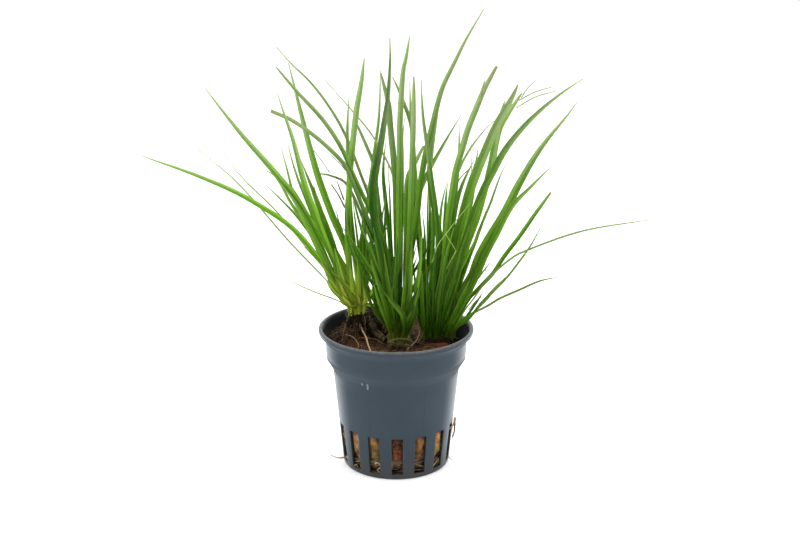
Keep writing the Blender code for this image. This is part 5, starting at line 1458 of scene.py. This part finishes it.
def make_roots(settings, tree, dark, pale):
    """The dark root mat with its tangle, and the roots that leave the pot."""
    foot, top = ROOT_MAT_FOOT, ROOT_MAT_TOP
    profile = [(0.0, foot), (bore_radius(foot) - 2.2, foot), (bore_radius(foot) - 1.0, foot + 1.1)]
    profile += spread(profile[-1], (bore_radius(top) - 1.0, top - 1.1), 5)
    profile += [(bore_radius(top) - 1.0, top - 1.1), (bore_radius(top) - 2.4, top), (0.0, top)]
    mesh_data = turn_profile(profile, 120, 0.0)
    for corner in mesh_data.verts:
        spot = corner.co / MM
        corner.co += Vector((spot.x, spot.y, 0.0)).normalized() * MM * (0.9 * cloud(spot, 1.4) - 0.5)
    mat = finish_mesh("root_mat_body", mesh_data, dark, 180.0)
    set_floats(mat.data, "tone", [
        0.08 + 0.34 * clamp((vertex.co.z / MM - 3.0) / 2.5, 0.0, 1.0) for vertex in mat.data.vertices])
    stand_for(mat, "dark_roots", "root_mat")
    tangle = root_tangle(settings.tangle_count, TANGLE_SEED)
    stand_for(grow_strands("root_mat_tangle", tangle, tree, dark, 16, 5), "dark_roots")
    scraps = crown_roots(settings.crown_root_count, CROWN_ROOT_SEED)
    scraps += litter(settings.litter_count, LITTER_SEED)
    stand_for(grow_strands("crown_roots", scraps, tree, dark, 10, 5), "dark_roots")
    for name, roots, nodes in (("foot_roots", FOOT_ROOTS, ()), ("top_roots", TOP_ROOTS, ()),
                               ("hanging_root_finished", HANGING_ROOT, ("hanging_root",)),
                               ("stray_root_finished", STRAY_ROOT, ("stray_root",))):
        stand_for(grow_strands(name, roots, tree, pale), "pale_root", *nodes)


# Leaves and crowns

def leaf_values(settings, material):
    return {"Sides": 14, "Thickness": settings.thickness, "Channel": settings.channel, "Material": material}


def make_leaves(settings, tree, material):
    """Every single leaf, in place of its plain solid."""
    for side, fans in FANS.items():
        number = 0
        for fan in fans:
            for blade in fan.blades:
                number += 1
                guide = Guide()
                points = blade_points(CROWNS[side], fan, blade)
                guide.add_blade(CROWNS[side], points, blade, settings.steps)
                node = f"{side}_leaf_{number:02d}"
                leaf = guide.grow(f"{node}_blade", tree, leaf_values(settings, material))
                stand_for(leaf, "leaf_green", node)


def follower(side, chance):
    """A young leaf that hugs one of the crown's leaves: the same course, shorter, and a little aside."""
    wide = [(fan, blade) for fan in FANS[side] for blade in fan.blades if blade.width > 1.0]
    fan, leaf = chance.choice(wide)
    points = blade_points(CROWNS[side], fan, leaf)
    path = smooth_path(points, 24)
    last = round(24 * chance.uniform(0.3, 0.66))
    aside = Vector((chance.uniform(-1.0, 1.0), chance.choice((-1.0, 1.0)) * chance.uniform(0.5, 1.4), 0.0))
    course = [path[step][0] + aside * min(1.0, 0.3 + step / last) for step in range(0, last + 1, 2)]
    return course, leaf._replace(width=chance.uniform(1.3, 2.4), turn=chance.uniform(-50, 50), blunt=0.0,
                                 tone=clamp(leaf.tone + chance.uniform(-0.25, 0.25), 0.0, 1.0))


def crossing_blade(side, chance):
    """A young leaf that leans across its crown: its course and its form."""
    crown = CROWNS[side]
    place = chance.uniform(-0.85, 0.85)
    lean = crown.lean + chance.uniform(-0.6, 0.6) - place * 0.2
    bow = chance.uniform(-0.12, 0.12)
    rise = chance.uniform(12.0, 40.0)
    root = crown.centre.x + place * crown.half_size.x
    near = crown.centre.y - crown.half_size.y * chance.uniform(0.2, 1.0)
    course = [(root + (lean + bow * part) * rise * part, crown.top + rise * part) for part in (0.4, 0.7, 1.0)]
    blade = Blade(root, chance.uniform(1.0, 2.0), chance.uniform(-50, 50), chance.uniform(0.12, 0.7), course)
    return blade_points(crown, Fan(near, near + chance.uniform(-9.0, 3.0), ()), blade), blade


def make_crown_blades(side, settings, tree, material, seed):
    """A crown's inner blades, and the young leaves that hug its leaves or lean across them."""
    crown = CROWNS[side]
    steps = settings.steps // 2
    chance = random.Random(seed)
    guide = Guide()
    for fan in INNER_FANS[side] + YOUNG_FANS[side]:
        for blade in fan.blades:
            slim = blade._replace(width=blade.width * chance.uniform(0.55, 0.9))
            guide.add_blade(crown, blade_points(crown, fan, blade), slim, steps)
    for count, draw in ((settings.followers, follower), (settings.crossers, crossing_blade)):
        for _ in range(round(count * crown.crowding)):
            points, blade = draw(side, chance)
            guide.add_blade(crown, points, blade, steps)
    blades = guide.grow(f"{side}_crown_blades", tree, leaf_values(settings, material))
    stand_for(blades, "crown_green", f"{side}_crown")


def make_crown_rhizome(side, tree, material):
    """A crown's ringed rhizome: three humps side by side, from the front to the back."""
    crown = CROWNS[side]
    half = crown.half_size
    low = crown.foot - 1.0
    lift = 0.4 * (crown.top - crown.foot)
    humps = []
    for row in (-1, 0, 1):
        x = crown.centre.x + half.x * row * 0.45
        humps.append(Root(half.x * 0.3, crown.tone, [
            (x + aside, crown.centre.y + half.y * back, low + rise)
            for aside, back, rise in ((0.0, -0.86, 0.2), (0.5, -0.4, lift), (-0.4, 0.0, lift + 0.3),
                                      (0.3, 0.45, lift), (0.0, 0.86, 0.2))]))
    stand_for(grow_strands(f"{side}_crown_rhizome", humps, tree, material, 30, 14, 0.2), "crown_green")


def make_bare_rhizome(tree, material):
    """The ringed rhizome that runs bare from the left crown down to the middle one."""
    guide = Guide()
    steps = 60
    last = len(RHIZOME_RADII) - 1
    path = smooth_path([Vector(point) for point in RHIZOME_COURSE], steps)
    widths = []
    for step, (place, _) in enumerate(path):
        mark = step / steps * last
        low = min(int(mark), last - 1)
        width = RHIZOME_RADII[low] + (RHIZOME_RADII[low + 1] - RHIZOME_RADII[low]) * (mark - low)
        widths.append(width * (1.0 + 0.07 * math.sin(step * 1.3) + 0.12 * cloud(place, 1.6)))
    guide.add_course(path, widths, tone=0.6)
    stand_for(guide.grow("bare_rhizome", tree, round_values(16, material)), "crown_green")


def make_hairs(tree, material):
    """Fine dry hairs that cross between the leaves."""
    roots = []
    for hair in HAIRS:
        count = len(hair.course) - 1
        course = [to_depth(x, z, hair.near + (hair.far - hair.near) * index / count)
                  for index, (x, z) in enumerate(hair.course)]
        roots.append(Root(hair.radius, hair.tone, course))
    stand_for(grow_strands("fine_hairs", roots, tree, material, 16, 6), "leaf_green")


# Stage

def make_floor(colour):
    """A pale floor that glows a little, so that it stays white under soft light."""
    material, tree, shader = new_material("stage_white")
    slight = tuple(channel * 0.985 for channel in colour[:3]) + (1.0,)
    tone = mix_colour(tree, mottle(tree, Scale=3.0, Contrast=2.0)["Mask"], colour, slight)
    feed(tree, shader, {"Base Color": tone, "Roughness": 0.8, "Emission Color": SURROUND_WHITE,
                        "Emission Strength": FLOOR_GLOW})
    mesh = bpy.data.meshes.new("stage_floor")
    corners = [(-1, -1), (1, -1), (1, 1), (-1, 1)]
    mesh.from_pydata([(x * FLOOR_REACH, y * FLOOR_REACH, 0.0) for x, y in corners], [], [(0, 1, 2, 3)])
    mesh.materials.append(material)
    add_object("stage_floor", mesh)


def add_light(name, place, size, power):
    """A round soft lamp that points at the plant."""
    light = bpy.data.lights.new(name, "AREA")
    light.shape = "DISK"
    light.size = size
    light.energy = power
    lamp = add_object(name, light)
    lamp.location = place
    lamp.rotation_euler = (Vector((0.0, 0.0, 0.07)) - Vector(place)).to_track_quat("-Z", "Y").to_euler()


def make_stage(settings):
    """A pale floor, a white surround that is dimmer in front, soft lamps and the camera."""
    make_floor(settings.floor)
    world = bpy.data.worlds.new("white_surround")
    world.use_nodes = True
    tree = world.node_tree
    place = add_node(tree, "ShaderNodeTexCoord").outputs["Generated"]
    depth = add_node(tree, "ShaderNodeSeparateXYZ", {0: place}).outputs[1]
    colour = mix_colour(tree, ramp(tree, depth, -1.0, -0.2, 1.0, 0.0), SURROUND_WHITE, SURROUND_DIM)
    feed(tree, tree.nodes["Background"], {"Color": colour, "Strength": settings.daylight})
    bpy.context.scene.world = world
    for lamp in LAMPS:
        add_light(*lamp)
    camera_data = bpy.data.cameras.new("camera")
    camera_data.lens = settings.lens
    camera_data.clip_start = 0.01
    camera = add_object("camera", camera_data)
    camera.location = EYE * MM
    camera.rotation_euler = (settings.tilt, 0.0, 0.0)
    bpy.context.scene.camera = camera
    bpy.context.scene.view_settings.view_transform = "Standard"


# Steps

def strand_tree():
    return shared(bpy.data.node_groups, "Round Sweep", build_sweep, False)


def leaf_tree():
    return shared(bpy.data.node_groups, "Leaf Sweep", build_sweep, True)


def leaf_skin(settings):
    return shared(bpy.data.materials, "leaf_skin", leaf_material, settings)


class SWEETFLAG_OT_pot(bpy.types.Operator):
    """Build the slotted net pot"""

    bl_idname = "sweetflag.pot"
    bl_label = "Net Pot"

    def execute(self, context):
        settings = context.scene.sweetflag_pot
        make_pot(settings, pot_material("pot_plastic", settings))
        return {"FINISHED"}


class SWEETFLAG_OT_plug(bpy.types.Operator):
    """Build the mineral-wool plug and its loose fibres"""

    bl_idname = "sweetflag.plug"
    bl_label = "Mineral-Wool Plug"

    def execute(self, context):
        fibres = root_material("wool_fibre", FIBRE_DARK, FIBRE_PALE)
        make_plug(context.scene.sweetflag_filling, wool_material("mineral_wool"), fibres)
        return {"FINISHED"}


class SWEETFLAG_OT_roots(bpy.types.Operator):
    """Build the root mat and the roots that show"""

    bl_idname = "sweetflag.roots"
    bl_label = "Roots"

    def execute(self, context):
        dark = root_material("dark_root_skin", ROOT_DARK, ROOT_PALE)
        pale = root_material("pale_root_skin", ROOT_DARK, ROOT_PALE)
        make_roots(context.scene.sweetflag_filling, strand_tree(), dark, pale)
        return {"FINISHED"}


class SWEETFLAG_OT_leaves(bpy.types.Operator):
    """Build every single leaf"""

    bl_idname = "sweetflag.leaves"
    bl_label = "Leaves"

    def execute(self, context):
        settings = context.scene.sweetflag_leaf
        make_leaves(settings, leaf_tree(), leaf_skin(settings))
        return {"FINISHED"}


class SWEETFLAG_OT_crowns(bpy.types.Operator):
    """Build the three crowns with their inner blades, and the bare rhizome"""

    bl_idname = "sweetflag.crowns"
    bl_label = "Crowns"

    def execute(self, context):
        settings = context.scene.sweetflag_leaf
        skin = leaf_skin(settings)
        rhizome_skin = rhizome_material("rhizome_skin")
        for seed, side in enumerate(CROWNS, BLADE_SEED):
            make_crown_blades(side, settings, leaf_tree(), skin, seed)
            make_crown_rhizome(side, strand_tree(), rhizome_skin)
        make_bare_rhizome(strand_tree(), rhizome_skin)
        return {"FINISHED"}


class SWEETFLAG_OT_hairs(bpy.types.Operator):
    """Build the fine hairs between the leaves"""

    bl_idname = "sweetflag.hairs"
    bl_label = "Fine Hairs"

    def execute(self, context):
        make_hairs(strand_tree(), root_material("dry_hair", HAIR_DARK, HAIR_PALE))
        return {"FINISHED"}


class SWEETFLAG_OT_stage(bpy.types.Operator):
    """Set up the floor, the light and the camera"""

    bl_idname = "sweetflag.stage"
    bl_label = "Stage"

    def execute(self, context):
        make_stage(context.scene.sweetflag_stage)
        return {"FINISHED"}


OPERATORS = (SWEETFLAG_OT_stage, SWEETFLAG_OT_pot, SWEETFLAG_OT_plug, SWEETFLAG_OT_roots, SWEETFLAG_OT_crowns,
             SWEETFLAG_OT_leaves, SWEETFLAG_OT_hairs)
SETTINGS = {
    "sweetflag_pot": PotSettings,
    "sweetflag_filling": FillingSettings,
    "sweetflag_leaf": LeafSettings,
    "sweetflag_stage": StageSettings,
}


class SWEETFLAG_PT_panel(bpy.types.Panel):
    """Steps and values of the potted sweet flag"""

    bl_label = "Sweet Flag"
    bl_idname = "SWEETFLAG_PT_panel"
    bl_space_type = "VIEW_3D"
    bl_region_type = "UI"
    bl_category = "Sweet Flag"

    def draw(self, context):
        for operator in OPERATORS:
            self.layout.operator(operator.bl_idname)
        for name, group in SETTINGS.items():
            box = self.layout.box()
            for key in group.__annotations__:
                box.prop(getattr(context.scene, name), key)


def register():
    for group in SETTINGS.values():
        bpy.utils.register_class(group)
    for name, group in SETTINGS.items():
        setattr(bpy.types.Scene, name, PointerProperty(type=group))
    for operator in OPERATORS:
        bpy.utils.register_class(operator)
    bpy.utils.register_class(SWEETFLAG_PT_panel)


def unregister():
    bpy.utils.unregister_class(SWEETFLAG_PT_panel)
    for operator in reversed(OPERATORS):
        bpy.utils.unregister_class(operator)
    for name, group in SETTINGS.items():
        delattr(bpy.types.Scene, name)
        bpy.utils.unregister_class(group)


def main():
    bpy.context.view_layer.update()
    register()
    for operator in OPERATORS:
        step = operator.bl_idname.split(".")[1]
        getattr(bpy.ops.sweetflag, step)()
    bpy.context.view_layer.update()


if __name__ == "__main__":
    main()
